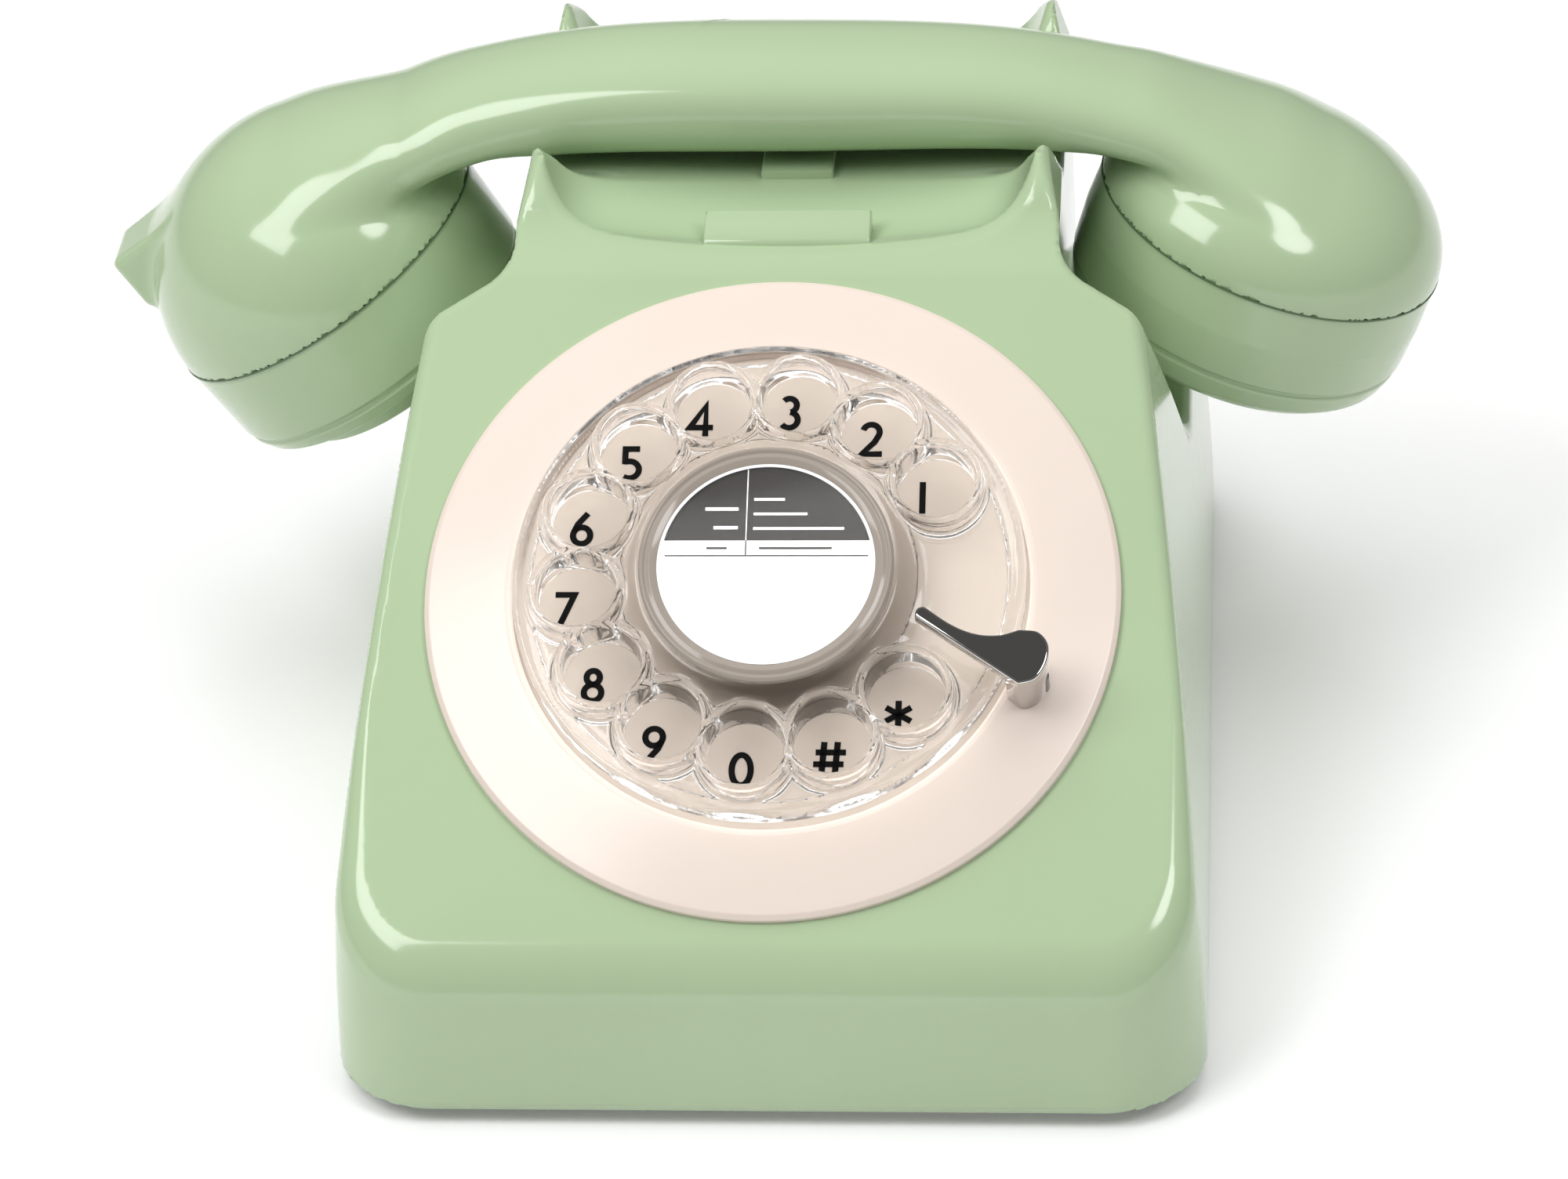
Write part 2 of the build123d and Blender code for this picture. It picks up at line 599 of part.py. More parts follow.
with BuildPart() as dial_spindle:
    add(ring(dial_plane, BRIDGE_LOW - 0.5, 8.4, SPINDLE_R))
    add(ring(dial_plane, FRAME_HIGH + 0.3, WHEEL_BOTTOM, 6))
    with BuildSketch(dial_plane.offset(4)):
        Circle(1.0)
    extrude(amount=6, mode=Mode.SUBTRACT)
save(dial_spindle.part, "dial_spindle")

clamp_screw = pan_screw(dial_plane, [(0, 0)], 8.4, 4, 1.0)
save(clamp_screw, "wheel_clamp_screw")

main_gear = gear(dial_plane, GEAR_LOW, GEAR_HIGH, MAIN_TEETH, (0, 0), PINION_ANGLE, SPINDLE_R)
save(main_gear, "main_gear")

pinion_phase = PINION_ANGLE + 180 + 180 / PINION_TEETH
with BuildPart() as pulse_pinion:
    add(gear(dial_plane, GEAR_LOW - 0.5, GEAR_HIGH + 0.5, PINION_TEETH, pinion_at, pinion_phase, PINION_SHAFT_R))
    with BuildSketch(dial_plane.offset(BRIDGE_LOW - 0.3)):
        with Locations(pinion_at):
            Circle(PINION_SHAFT_R)
    extrude(amount=FRAME_LOW + 1 - BRIDGE_LOW)
save(pulse_pinion.part, "pulse_pinion")

with BuildPart() as pulse_cam:
    with BuildSketch(dial_plane.offset(cam_n)):
        with Locations(pinion_at):
            Circle(3.2)
            Rectangle(7.6, 2.4, rotation=20)
            Circle(PINION_SHAFT_R, mode=Mode.SUBTRACT)
    extrude(amount=2.5)
save(pulse_cam.part, "pulse_cam")

with BuildPart() as worm_wheel:
    with BuildSketch(dial_plane.offset(GOVERNOR_N - 1.5)):
        with Locations(pinion_at):
            Circle(WORM_WHEEL_R)
            Circle(PINION_SHAFT_R, mode=Mode.SUBTRACT)
            with PolarLocations(WORM_WHEEL_R, 24):
                Circle(0.35, mode=Mode.SUBTRACT)
    extrude(amount=3)
save(worm_wheel.part, "worm_wheel")

with BuildPart() as governor_worm:
    with BuildSketch(cup_plane.offset(-25.5)):
        Circle(1.0)
    extrude(amount=32)
    with BuildSketch(cup_plane.offset(-22)):
        Circle(WORM_R)
    extrude(amount=11)
save(governor_worm.part, "governor_worm")

with BuildPart() as governor_weights:
    with BuildSketch(cup_plane.offset(1)):
        Rectangle(3.2, 11)
        with Locations((0, 4.4), (0, -4.4)):
            Rectangle(5, 2.6)
        Circle(1.0, mode=Mode.SUBTRACT)
    extrude(amount=3)
save(governor_weights.part, "governor_weights")

# ---------------------------------------------------------------- hook bar
with BuildPart() as hook_bar:
    with Locations((0, HOOK_Y, HOOK_TOP)):
        Box(HOOK_BAR[0], HOOK_BAR[1], 6, align=(Align.CENTER, Align.CENTER, Align.MAX))
    fillet(hook_bar.edges().filter_by(lambda e: abs(e.center().Z - HOOK_TOP) < 0.1), 0.8)
    with Locations((0, HOOK_Y, SEAT_Z + 0.9)):
        Box(HOOK_TONGUE[0], HOOK_TONGUE[1], 4, align=(Align.CENTER, Align.MIN, Align.MAX))
    with Locations((0, HOOK_Y, SEAT_Z)):
        Box(6, 6, 20, align=(Align.CENTER, Align.CENTER, Align.MAX))
save(hook_bar.part, "hook_bar")

HOOK_STEM_FOOT = SEAT_Z - 20
with BuildPart() as hook_guide:
    with Locations((0, HOOK_Y, HOOK_STEM_FOOT - 9)):
        Box(20, 14, 18, align=(Align.CENTER, Align.CENTER, Align.MIN))
    with Locations((0, HOOK_Y, HOOK_STEM_FOOT - 5)):
        Box(11, 11, 20, align=(Align.CENTER, Align.CENTER, Align.MIN), mode=Mode.SUBTRACT)
save(hook_guide.part, "hook_guide")


# Coil spring under the hook bar's stem
spring_foot = HOOK_STEM_FOOT - 5
with BuildPart() as hook_spring:
    with BuildLine():
        coil = Helix(pitch=1.5, height=3.8, radius=3.4, center=(0, HOOK_Y, spring_foot + 0.6))
    with BuildSketch(Plane(origin=coil @ 0, z_dir=coil % 0)):
        Circle(0.45)
    sweep(is_frenet=True)
save(hook_spring.part, "hook_spring")

with BuildPart() as hook_contacts:
    with Locations((0, HOOK_Y + 12, HOOK_STEM_FOOT - 1)):
        Box(16, 8, 12)
    with Locations((-5, HOOK_Y + 12, HOOK_STEM_FOOT - 8.5), (0, HOOK_Y + 12, HOOK_STEM_FOOT - 8.5),
                   (5, HOOK_Y + 12, HOOK_STEM_FOOT - 8.5)):
        Box(0.8, 4, 3)
save(hook_contacts.part, "hook_contacts")

# ---------------------------------------------------------------- ringer
PLATE_TOP = SKIRT_Z + 2
GONG_X, GONG_Y, GONG_R = 25.0, 58.0, 21.0
GONG_LOW, GONG_HIGH = 10.0, 21.0
CLAPPER_PIVOT_Y = 31.0
CLAPPER_Z = 13.0
with BuildPart() as ringer_frame:
    with BuildSketch(Plane.XY.offset(PLATE_TOP)):
        with Locations((0, 38)):
            Rectangle(62, 66)
        with Locations((0, GONG_Y + 12)):
            Rectangle(24, 30, mode=Mode.SUBTRACT)
    extrude(amount=1.5)
    with BuildSketch(Plane.XY.offset(PLATE_TOP)):
        with Locations((-GONG_X, GONG_Y), (GONG_X, GONG_Y)):
            Circle(2.5)
    extrude(amount=GONG_HIGH - 1.2 - PLATE_TOP)
    with BuildSketch(Plane.XY.offset(PLATE_TOP)):
        with Locations((0, CLAPPER_PIVOT_Y)):
            Circle(1.2)
    extrude(amount=12)
    with BuildSketch(Plane.XY.offset(PLATE_TOP)):
        with Locations((0, 8)):
            Rectangle(40, 2.5)
    extrude(amount=18)
    with BuildSketch(Plane.XY.offset(PLATE_TOP + 2)):
        with Locations((-GONG_X, GONG_Y), (GONG_X, GONG_Y)):
            Circle(1.25)
    extrude(amount=20, mode=Mode.SUBTRACT)
save(ringer_frame.part, "ringer_frame")

for name, x in (("gong_left", -GONG_X), ("gong_right", GONG_X)):
    gong_plane = Plane(origin=(x, GONG_Y, 0))
    with BuildPart() as gong:
        with BuildSketch(section_of(gong_plane)):
            with BuildLine():
                outer = Line((1.3, GONG_HIGH), (9, GONG_HIGH))
                outer_bend = ThreePointArc(outer @ 1, (17.6, GONG_HIGH - 3.4), (GONG_R, GONG_LOW))
                foot = Line(outer_bend @ 1, (GONG_R - 1.2, GONG_LOW))
                inner_bend = ThreePointArc(foot @ 1, (16.7, GONG_HIGH - 4.3), (9, GONG_HIGH - 1.2))
                Line(inner_bend @ 1, (1.3, GONG_HIGH - 1.2))
                Line((1.3, GONG_HIGH - 1.2), outer @ 0)
            make_face()
        revolve(axis=Axis(gong_plane.origin, gong_plane.z_dir))
    save(gong.part, name)
save(pan_screw(Plane.XY, [(-GONG_X, GONG_Y), (GONG_X, GONG_Y)], GONG_HIGH, 10, 1.25), "gong_screws")

with BuildPart() as ringer_coils:
    for x in (-10.0, 10.0):
        with BuildSketch(Plane.XZ.offset(-9.5)):
            with Locations((x, CLAPPER_Z + 3)):
                Circle(6.5)
                Circle(2.0, mode=Mode.SUBTRACT)
        extrude(amount=-15)
save(ringer_coils.part, "ringer_coils")

with BuildPart() as ringer_cores:
    for x in (-10.0, 10.0):
        with BuildSketch(Plane.XZ.offset(-9.25)):
            with Locations((x, CLAPPER_Z + 3)):
                Circle(2.0)
        extrude(amount=-17)
save(ringer_cores.part, "ringer_cores")

with BuildPart() as clapper:
    with BuildSketch(Plane.XY.offset(CLAPPER_Z - 1)):
        with Locations((0, CLAPPER_PIVOT_Y)):
            Circle(2.6)
            Rectangle(24, 2.4)
            Rectangle(1.4, GONG_Y - CLAPPER_PIVOT_Y, align=(Align.CENTER, Align.MIN))
            Circle(1.2 + RUNNING_GAP, mode=Mode.SUBTRACT)
    extrude(amount=2)
    with Locations((0, GONG_Y, CLAPPER_Z)):
        Sphere(2.5)
save(clapper.part, "clapper")

# ---------------------------------------------------------------- circuit board and wall pieces
BOARD_Z = PLATE_TOP + 4
with BuildPart() as circuit_board:
    with BuildSketch(Plane.XY.offset(BOARD_Z)):
        with Locations((0, -48)):
            RectangleRounded(92, 74, 2)
        with Locations(*BOARD_POINTS):
            Circle(1.3, mode=Mode.SUBTRACT)
    extrude(amount=1.6)
save(circuit_board.part, "circuit_board")

BOARD_TOP = BOARD_Z + 1.6
with BuildPart() as board_components:
    with BuildSketch(Plane.XY.offset(BOARD_TOP)):
        with Locations((-32, -30), (-18, -30), (30, -40)):
            Circle(4)
    extrude(amount=9)
    with BuildSketch(Plane.XY.offset(BOARD_TOP)):
        with Locations((0, -34)):
            Rectangle(18, 8)
        with Locations((-30, -62), (-10, -62), (10, -62), (30, -62)):
            Rectangle(7, 2.6)
        with Locations((0, -76)):
            Rectangle(10, 6)
    extrude(amount=2.6)
save(board_components.part, "board_components")

save(pan_screw(Plane.XY, BOARD_POINTS, BOARD_TOP, 5, 1.2), "board_screws")


def socket(plane, opening):
    """A modular socket: a box sunk below a plane, its opening on the plane."""
    with BuildPart() as body:
        with BuildSketch(plane):
            Rectangle(*SOCKET_SIZE)
            Rectangle(*opening, mode=Mode.SUBTRACT)
        extrude(amount=-12)
        with BuildSketch(plane.offset(-12)):
            Rectangle(*SOCKET_SIZE)
        extrude(amount=-2)
    return body.part


line_plane = Plane(origin=(LINE_SOCKET_X, REAR_Y - 1.0, SOCKET_Z), x_dir=(-1, 0, 0), z_dir=(0, 1, 0))
cord_plane = Plane(origin=(-BASE_HALF_WIDTH + 0.4, CORD_SOCKET_Y, SOCKET_Z), x_dir=(0, -1, 0), z_dir=(-1, 0, 0))
save(socket(line_plane, LINE_OPENING), "line_socket")
save(socket(cord_plane, CORD_OPENING), "cord_socket")

with BuildPart() as ringer_switch:
    with Locations((SWITCH_X, REAR_Y - 11.0, SOCKET_Z)):
        Box(14, 12, 9)
    with Locations((SWITCH_X, REAR_Y - 7.0, SOCKET_Z)):
        Box(10, 6, 4.8, mode=Mode.SUBTRACT)
save(ringer_switch.part, "ringer_switch")

with BuildPart() as ringer_slider:
    with Locations((SWITCH_X, REAR_Y - 9.6, SOCKET_Z)):
        Box(4.2, 10.0, 4.0, align=(Align.CENTER, Align.MIN, Align.CENTER))
    fillet(ringer_slider.faces().sort_by(Axis.Y)[-1].edges(), 0.5)
save(ringer_slider.part, "ringer_slider")

# ---------------------------------------------------------------- handset
mouth_plane = seam_plane(MOUTH)
ear_plane = seam_plane(EAR)
CORD_BOSS_AXIS = Vector(-0.84, 0, -0.55).normalized()
CORD_BOSS_END = Vector(-116.0, HANDSET_Y, 69.8)
BOSS_LENGTH = 16.0
boss_plane = Plane(origin=CORD_BOSS_END, x_dir=(0, 1, 0), z_dir=CORD_BOSS_AXIS)
INSERT_SIZE = (9.4, 7.8)
INSERT_OPENING = (7.8, 6.2)


def dome(end, inset):
    """The rounded end of the handset above a seam, its wall moved in by inset."""
    plane = seam_plane(end)
    radius, height = CAP_R - inset, end["dome"] - inset
    with BuildPart() as body:
        with BuildSketch(section_of(plane)):
            with BuildLine():
                Line((0, 0), (radius, 0))
                quarter = [radians(22.5 * k) for k in range(5)]
                Spline(*[(radius * cos(a), -height * sin(a)) for a in quarter], tangents=[(0, -1), (-1, 0)])
                Line((0, -height), (0, 0))
            make_face()
        revolve(axis=Axis(plane.origin, plane.z_dir))
    return body.part


# Wire channel and weight follow one arc along the grip
with BuildPart() as wire_channel:
    with BuildLine():
        channel_path = ThreePointArc((-74, HANDSET_Y, 91), (0, HANDSET_Y, 104.6), (72, HANDSET_Y, 92))
    with BuildSketch(Plane(origin=channel_path @ 0, z_dir=channel_path % 0)):
        Circle(3.0)
    sweep()

with BuildPart() as handset_shell:
    for x, z, half_width, half_height in GRIP_SECTIONS:
        with BuildSketch(Plane.YZ.offset(x)):
            with Locations((HANDSET_Y, z)):
                Ellipse(half_width, half_height)
    loft()
    for end in (MOUTH, EAR):
        with BuildSketch(seam_plane(end)):
            Circle(CAP_R + 8)
        extrude(amount=40, mode=Mode.SUBTRACT)
        add(dome(end, 0))
    with BuildSketch(boss_plane):
        RectangleRounded(12.0, 10.4, 2.5)
    extrude(amount=-BOSS_LENGTH, taper=-5)
    for end in (MOUTH, EAR):
        add(dome(end, SHELL_WALL), mode=Mode.SUBTRACT)
    add(wire_channel.part, mode=Mode.SUBTRACT)
    with BuildSketch(boss_plane):
        Rectangle(*INSERT_SIZE)
    extrude(amount=-11, mode=Mode.SUBTRACT)
save(handset_shell.part, "handset_shell")

with BuildPart() as handset_socket:
    with BuildSketch(boss_plane.offset(-0.4)):
        Rectangle(*INSERT_SIZE)
        Rectangle(*INSERT_OPENING, mode=Mode.SUBTRACT)
    extrude(amount=-9)
    with BuildSketch(boss_plane.offset(-9.4)):
        Rectangle(*INSERT_SIZE)
    extrude(amount=-1.6)
save(handset_socket.part, "handset_socket")

with BuildPart() as handset_weight:
    with BuildLine():
        ThreePointArc(channel_path @ 0.3, channel_path @ 0.5, channel_path @ 0.7)
    with BuildSketch(Plane(origin=channel_path @ 0.3, z_dir=channel_path % 0.3)):
        Circle(2.9)
    sweep()
save(handset_weight.part, "handset_weight")

CAP_NECK_R = CAP_R - SHELL_WALL - 0.4
CAP_NECK = -2.0             # how far the necks reach into the shell
CAPSULE_R = 23.4
SEAM_GAP = 0.25
with BuildPart() as mouth_cap:
    add(turned(
        mouth_plane,
        (CAP_NECK_R, CAP_NECK), (CAP_NECK_R, 0), (CAP_R, SEAM_GAP), (29.2, 14.6), (28.5, 15.0), (28.5, 15.6), (28.8, 16.0),
        (27.8, 18.0), (25.6, 19.0), (22.0, 19.2), (21.4, 22.4), (19.6, 23.4), (17.0, 22.2), (0, 21.2),
        (0, 18.6), (20.0, 18.6), (24.5, 16.0), (24.5, CAP_NECK),
    ))
    with BuildSketch(mouth_plane.offset(15)):
        Circle(1.1)
        with PolarLocations(6, 6):
            Circle(1.1)
        with PolarLocations(12, 12):
            Circle(1.1)
    extrude(amount=10, mode=Mode.SUBTRACT)
save(mouth_cap.part, "mouth_cap")

with BuildPart() as ear_cap:
    add(turned(
        ear_plane,
        (CAP_NECK_R, CAP_NECK), (CAP_NECK_R, 0), (CAP_R, SEAM_GAP), (30.2, 8), (29.7, 15.4), (29.1, 15.7), (29.1, 16.3),
        (29.5, 16.7), (28.6, 19.6), (26.4, 21.6), (23.0, 22.3), (20.0, 22.2), (0, 19.6),
        (0, 17.0), (22.0, 17.0), (24.5, 15.0), (24.5, CAP_NECK),
    ))
    with BuildSketch(ear_plane.offset(15)):
        Circle(1.1)
        with PolarLocations(6, 6):
            Circle(1.1)
    extrude(amount=10, mode=Mode.SUBTRACT)
save(ear_cap.part, "ear_cap")

for name, plane, top in (("transmitter", mouth_plane, 16.0), ("receiver", ear_plane, 15.0)):
    save(turned(plane, (0, 2), (19, 2), (19, 4.5), (CAPSULE_R, 4.5), (CAPSULE_R, 7), (CAPSULE_R - 2, top - 2),
                (0, top - 2)), f"{name}_capsule")
    save(ring(plane, top - 2, top, 21, 16), f"{name}_gasket")
    save(ring(plane, -4, 2, 24.4, 20), f"{name}_holder")
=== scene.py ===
"""Looks of the rotary telephone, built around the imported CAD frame.

Shapes are drawn in millimetres, and are scaled to metres when they become meshes.
"""
import json
import math

import bmesh
import bpy
import numpy as np
from mathutils import Matrix, Vector

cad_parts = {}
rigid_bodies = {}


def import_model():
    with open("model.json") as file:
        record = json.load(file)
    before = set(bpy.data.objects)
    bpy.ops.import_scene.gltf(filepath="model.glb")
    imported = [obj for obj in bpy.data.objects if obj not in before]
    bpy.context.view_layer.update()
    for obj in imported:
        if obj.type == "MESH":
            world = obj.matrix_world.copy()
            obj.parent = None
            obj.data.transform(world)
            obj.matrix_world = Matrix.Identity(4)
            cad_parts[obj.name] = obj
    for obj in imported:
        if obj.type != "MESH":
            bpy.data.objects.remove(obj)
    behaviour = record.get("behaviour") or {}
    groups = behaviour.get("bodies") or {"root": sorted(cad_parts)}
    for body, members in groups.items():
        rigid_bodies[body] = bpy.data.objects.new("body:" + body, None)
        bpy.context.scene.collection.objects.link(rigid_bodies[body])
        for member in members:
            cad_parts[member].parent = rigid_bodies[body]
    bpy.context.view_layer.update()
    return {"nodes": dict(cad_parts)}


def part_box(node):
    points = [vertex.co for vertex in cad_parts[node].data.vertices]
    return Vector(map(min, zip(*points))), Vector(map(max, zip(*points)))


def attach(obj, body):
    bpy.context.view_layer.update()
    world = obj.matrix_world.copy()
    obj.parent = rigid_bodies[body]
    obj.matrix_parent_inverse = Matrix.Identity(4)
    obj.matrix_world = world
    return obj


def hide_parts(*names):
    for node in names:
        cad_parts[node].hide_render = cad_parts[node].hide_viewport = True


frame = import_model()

MM = 0.001
case_low, case_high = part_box("case")
MIDDLE = Matrix.Translation(((case_low[0] + case_high[0]) / 2, 0, 0))  # the case's middle plane is drawn as X = 0
SMALL = 1e-3  # keeps a division away from zero


# ------------------------------------------------------------ fields: negative inside, millimetres outside
def round_and(radius, *fields):
    """What all the solids share, its convex edges rounded."""
    worst, total = fields[0], 0.0
    for field in fields:
        worst = np.maximum(worst, field)
        total = total + np.maximum(radius + field, 0) ** 2
    return np.minimum(worst, -radius) + np.sqrt(total)


def round_or(radius, a, b):
    """Two solids joined, the corner between them filled."""
    fill = np.sqrt(np.maximum(radius - a, 0) ** 2 + np.maximum(radius - b, 0) ** 2)
    return np.maximum(np.minimum(a, b), radius) - fill


def slope(a, b, p, q):
    """Distance to the line from p to q in the plane of coordinates a and b, positive on its left."""
    da, db = q[0] - p[0], q[1] - p[1]
    return ((b - p[1]) * da - (a - p[0]) * db) / math.hypot(da, db)


def slopes(a, b, *points):
    """Distances to the lines between each point and the next."""
    return [slope(a, b, p, q) for p, q in zip(points, points[1:])]


def block(x, y, z, centre, size):
    """A box."""
    sides = [np.abs(value - mid) - full / 2 for value, mid, full in zip((x, y, z), centre, size)]
    return np.maximum(np.maximum(sides[0], sides[1]), sides[2])


def through(x, knots, values):
    """A smooth curve through values at knots."""
    knots, values = np.array(knots), np.array(values)
    tangents = np.gradient(values, knots)
    x = np.clip(x, knots[0], knots[-1])
    i = np.clip(np.searchsorted(knots, x) - 1, 0, len(knots) - 2)
    width = knots[i + 1] - knots[i]
    t = (x - knots[i]) / width
    return (values[i] * (1 + 2 * t) * (1 - t) ** 2 + values[i + 1] * t * t * (3 - 2 * t)
            + width * t * (1 - t) * (tangents[i] * (1 - t) - tangents[i + 1] * t))


def gradient(field, points, reach=0.05):
    """Direction in which the field grows, at each point."""
    result = np.empty_like(points)
    for axis in range(3):
        step = np.zeros(3)
        step[axis] = reach
        result[:, axis] = (field(*(points + step).T) - field(*(points - step).T)) / (2 * reach)
    return result


def towards(field, points, limit=np.inf):
    """The move that takes points to where a field is zero, if it is no longer than the limit."""
    away = gradient(field, points)
    move = field(*points.T) / np.maximum((away ** 2).sum(1), 0.2)
    return -np.clip(move, -limit, limit)[:, None] * away


def surface(field, low, high, step):
    """Points and quads of a field's surface. One point lies in each grid cell that the surface crosses."""
    axes = [np.arange(a, b + step, step) for a, b in zip(low, high)]
    values = field(*np.meshgrid(*axes, indexing="ij"))
    inside = values < 0
    shape = [n - 1 for n in values.shape]
    corners = [(i, j, k) for i in (0, 1) for j in (0, 1) for k in (0, 1)]
    count = sum(inside[i:i + shape[0], j:j + shape[1], k:k + shape[2]].astype(np.int8)
                for i, j, k in corners)
    crossed = (count > 0) & (count < 8)
    cells = np.argwhere(crossed)
    number = np.full(shape, -1)
    number[crossed] = np.arange(len(cells))
    total, hits = np.zeros((len(cells), 3)), np.zeros(len(cells))
    for corner in corners:
        for axis in range(3):
            if corner[axis]:
                continue
            other = [c + (n == axis) for n, c in enumerate(corner)]
            first = values[tuple((cells + corner).T)]
            second = values[tuple((cells + other).T)]
            cut = (first < 0) != (second < 0)
            point = np.tile(np.array(corner, float), (cut.sum(), 1))
            point[:, axis] = first[cut] / (first[cut] - second[cut])
            total[cut] += point
            hits[cut] += 1
    points = np.array(low) + step * (cells + total / hits[:, None])
    quads = []
    for axis in range(3):
        one, two = np.eye(3, dtype=int)[(axis + 1) % 3], np.eye(3, dtype=int)[(axis + 2) % 3]
        start = np.moveaxis(inside, axis, 0)
        change = np.moveaxis(start[:-1] != start[1:], 0, axis)
        edges = np.argwhere(change)
        for n in ((axis + 1) % 3, (axis + 2) % 3):
            edges = edges[(edges[:, n] > 0) & (edges[:, n] < shape[n])]
        around = np.stack([number[tuple((edges - back).T)] for back in (one + two, two, 0 * one, one)], axis=1)
        outwards = inside[tuple(edges.T)]
        quads.append(np.where(outwards[:, None], around, around[:, ::-1]))
    for _ in range(3):
        points += towards(field, points, step / 2)
    return points, np.concatenate(quads)


# ------------------------------------------------------------ pieces
def piece(name, points, faces, material, body, replaces=(), matrix=None):
    """A mesh from points in millimetres, riding on a CAD body."""
    mesh = bpy.data.meshes.new(name)
    scaled = np.array(points, float) * MM
    if isinstance(faces, np.ndarray):
        mesh.vertices.add(len(scaled))
        mesh.vertices.foreach_set("co", scaled.ravel())
        mesh.loops.add(faces.size)
        mesh.loops.foreach_set("vertex_index", faces.ravel())
        mesh.polygons.add(len(faces))
        mesh.polygons.foreach_set("loop_start", np.arange(0, faces.size, faces.shape[1]))
        mesh.update(calc_edges=True)
    else:
        mesh.from_pydata(scaled.tolist(), [], faces)
    mesh.validate()
    mesh.transform(MIDDLE @ (matrix or Matrix.Identity(4)))
    mesh.polygons.foreach_set("use_smooth", np.ones(len(mesh.polygons), bool))
    mesh.materials.append(material)
    obj = bpy.data.objects.new(name, mesh)
    bpy.context.scene.collection.objects.link(obj)
    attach(obj, body)
    if replaces:
        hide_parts(*replaces)
    return obj


def shade(obj, field, matrix=None):
    """Normals straight from the field, except across its sharp edges."""
    mesh = obj.data
    inverse = (MIDDLE @ (matrix or Matrix.Identity(4))).inverted()
    turn = np.array(inverse.to_3x3())
    points = np.empty(len(mesh.vertices) * 3)
    mesh.vertices.foreach_get("co", points)
    points = points.reshape(-1, 3) @ turn.T + np.array(inverse.translation)
    normals = gradient(field, points / MM) @ turn
    normals /= np.linalg.norm(normals, axis=1, keepdims=True)
    corner = np.empty(len(mesh.loops), int)
    mesh.loops.foreach_get("vertex_index", corner)
    flat = np.empty(len(mesh.polygons) * 3)
    mesh.polygons.foreach_get("normal", flat)
    sides = np.empty(len(mesh.polygons), int)
    mesh.polygons.foreach_get("loop_total", sides)
    flat = np.repeat(flat.reshape(-1, 3), sides, axis=0)
    smooth = normals[corner]
    keep = (smooth * flat).sum(1) > 0.75
    mesh.normals_split_custom_set(np.where(keep[:, None], smooth, flat).tolist())


def carved(name, field, low, high, step, material, body, replaces=(), matrix=None, creases=()):
    """A piece whose surface is a field's. Creases are pairs of fields that meet in a sharp edge."""
    points, quads = surface(field, low, high, step)
    for pair in creases:
        near = np.all([np.abs(side(*points.T)) < 0.45 * step for side in pair], axis=0)
        edge = points[near]
        for side in pair * 4:
            edge += towards(side, edge)
        points[near] = edge
    obj = piece(name, points, quads, material, body, replaces, matrix)
    shade(obj, field, matrix)
    return obj


def softened(profile, steps=5):
    """A closed outline of points, each corner cut by an arc of at most its own radius."""
    result = []
    for n, corner in enumerate(profile):
        here = Vector(corner[:2])
        before, after = Vector(profile[n - 1][:2]) - here, Vector(profile[(n + 1) % len(profile)][:2]) - here
        size = corner[2]
        if size == 0 or before.length == 0 or after.length == 0:
            result.append(tuple(here))
            continue
        half = before.angle(after) / 2
        reach = min(size / max(math.tan(half), SMALL), before.length * 0.48, after.length * 0.48)
        start, end = here + before.normalized() * reach, here + after.normalized() * reach
        for k in range(steps + 1):
            t = k / steps
            result.append(tuple(start * (1 - t) ** 2 + here * 2 * t * (1 - t) + end * t * t))
    return result


def turned(name, profile, material, body, matrix, replaces=(), segments=192, sharp=40):
    """A piece turned about its own Z axis from a closed outline of (radius, height, softening) points."""
    outline = softened(profile)
    points, faces = [], []
    angles = [2 * math.pi * k / segments for k in range(segments)]
    for angle in angles:
        points += [(r * math.cos(angle), r * math.sin(angle), h) for r, h in outline]
    count = len(outline)
    for k in range(segments):
        for n in range(count):
            a, b = k * count, (k + 1) % segments * count
            m = (n + 1) % count
            if outline[n][0] < 1e-6 and outline[m][0] < 1e-6:
                continue
            faces.append((a + n, b + n, b + m, a + m))
    obj = piece(name, points, faces, material, body, replaces, matrix)
    tidy_mesh(obj, sharp)
    return obj


def tidy_mesh(obj, sharp=40):
    """Joins doubled points, turns every face outwards and keeps only real corners sharp."""
    work = bmesh.new()
    work.from_mesh(obj.data)
    bmesh.ops.remove_doubles(work, verts=work.verts, dist=1e-6)
    bmesh.ops.recalc_face_normals(work, faces=work.faces)
    work.to_mesh(obj.data)
    work.free()
    for polygon in obj.data.polygons:
        polygon.use_smooth = True
    obj.data.set_sharp_from_angle(angle=math.radians(sharp))


def rounded_plate(name, outline, low, high, bevel, surface_material, body, matrix, replaces=()):
    """An outline with a thickness and rounded edges."""
    work = bmesh.new()
    face = work.faces.new([work.verts.new((u * MM, v * MM, low * MM)) for u, v in outline])
    risen = bmesh.ops.extrude_face_region(work, geom=[face])
    top = [part for part in risen["geom"] if isinstance(part, bmesh.types.BMVert)]
    bmesh.ops.translate(work, verts=top, vec=(0, 0, (high - low) * MM))
    bmesh.ops.recalc_face_normals(work, faces=work.faces)
    rims = [e for e in work.edges if abs(e.verts[0].co.z - e.verts[1].co.z) < 1e-7]
    bmesh.ops.bevel(work, geom=rims, offset=bevel * MM, segments=4, profile=0.5, affect="EDGES")
    mesh = bpy.data.meshes.new(name)
    work.to_mesh(mesh)
    work.free()
    points = [tuple(v.co / MM) for v in mesh.vertices]
    faces = [tuple(p.vertices) for p in mesh.polygons]
    obj = piece(name, points, faces, surface_material, body, replaces, matrix)
    tidy_mesh(obj, 35)
    return obj


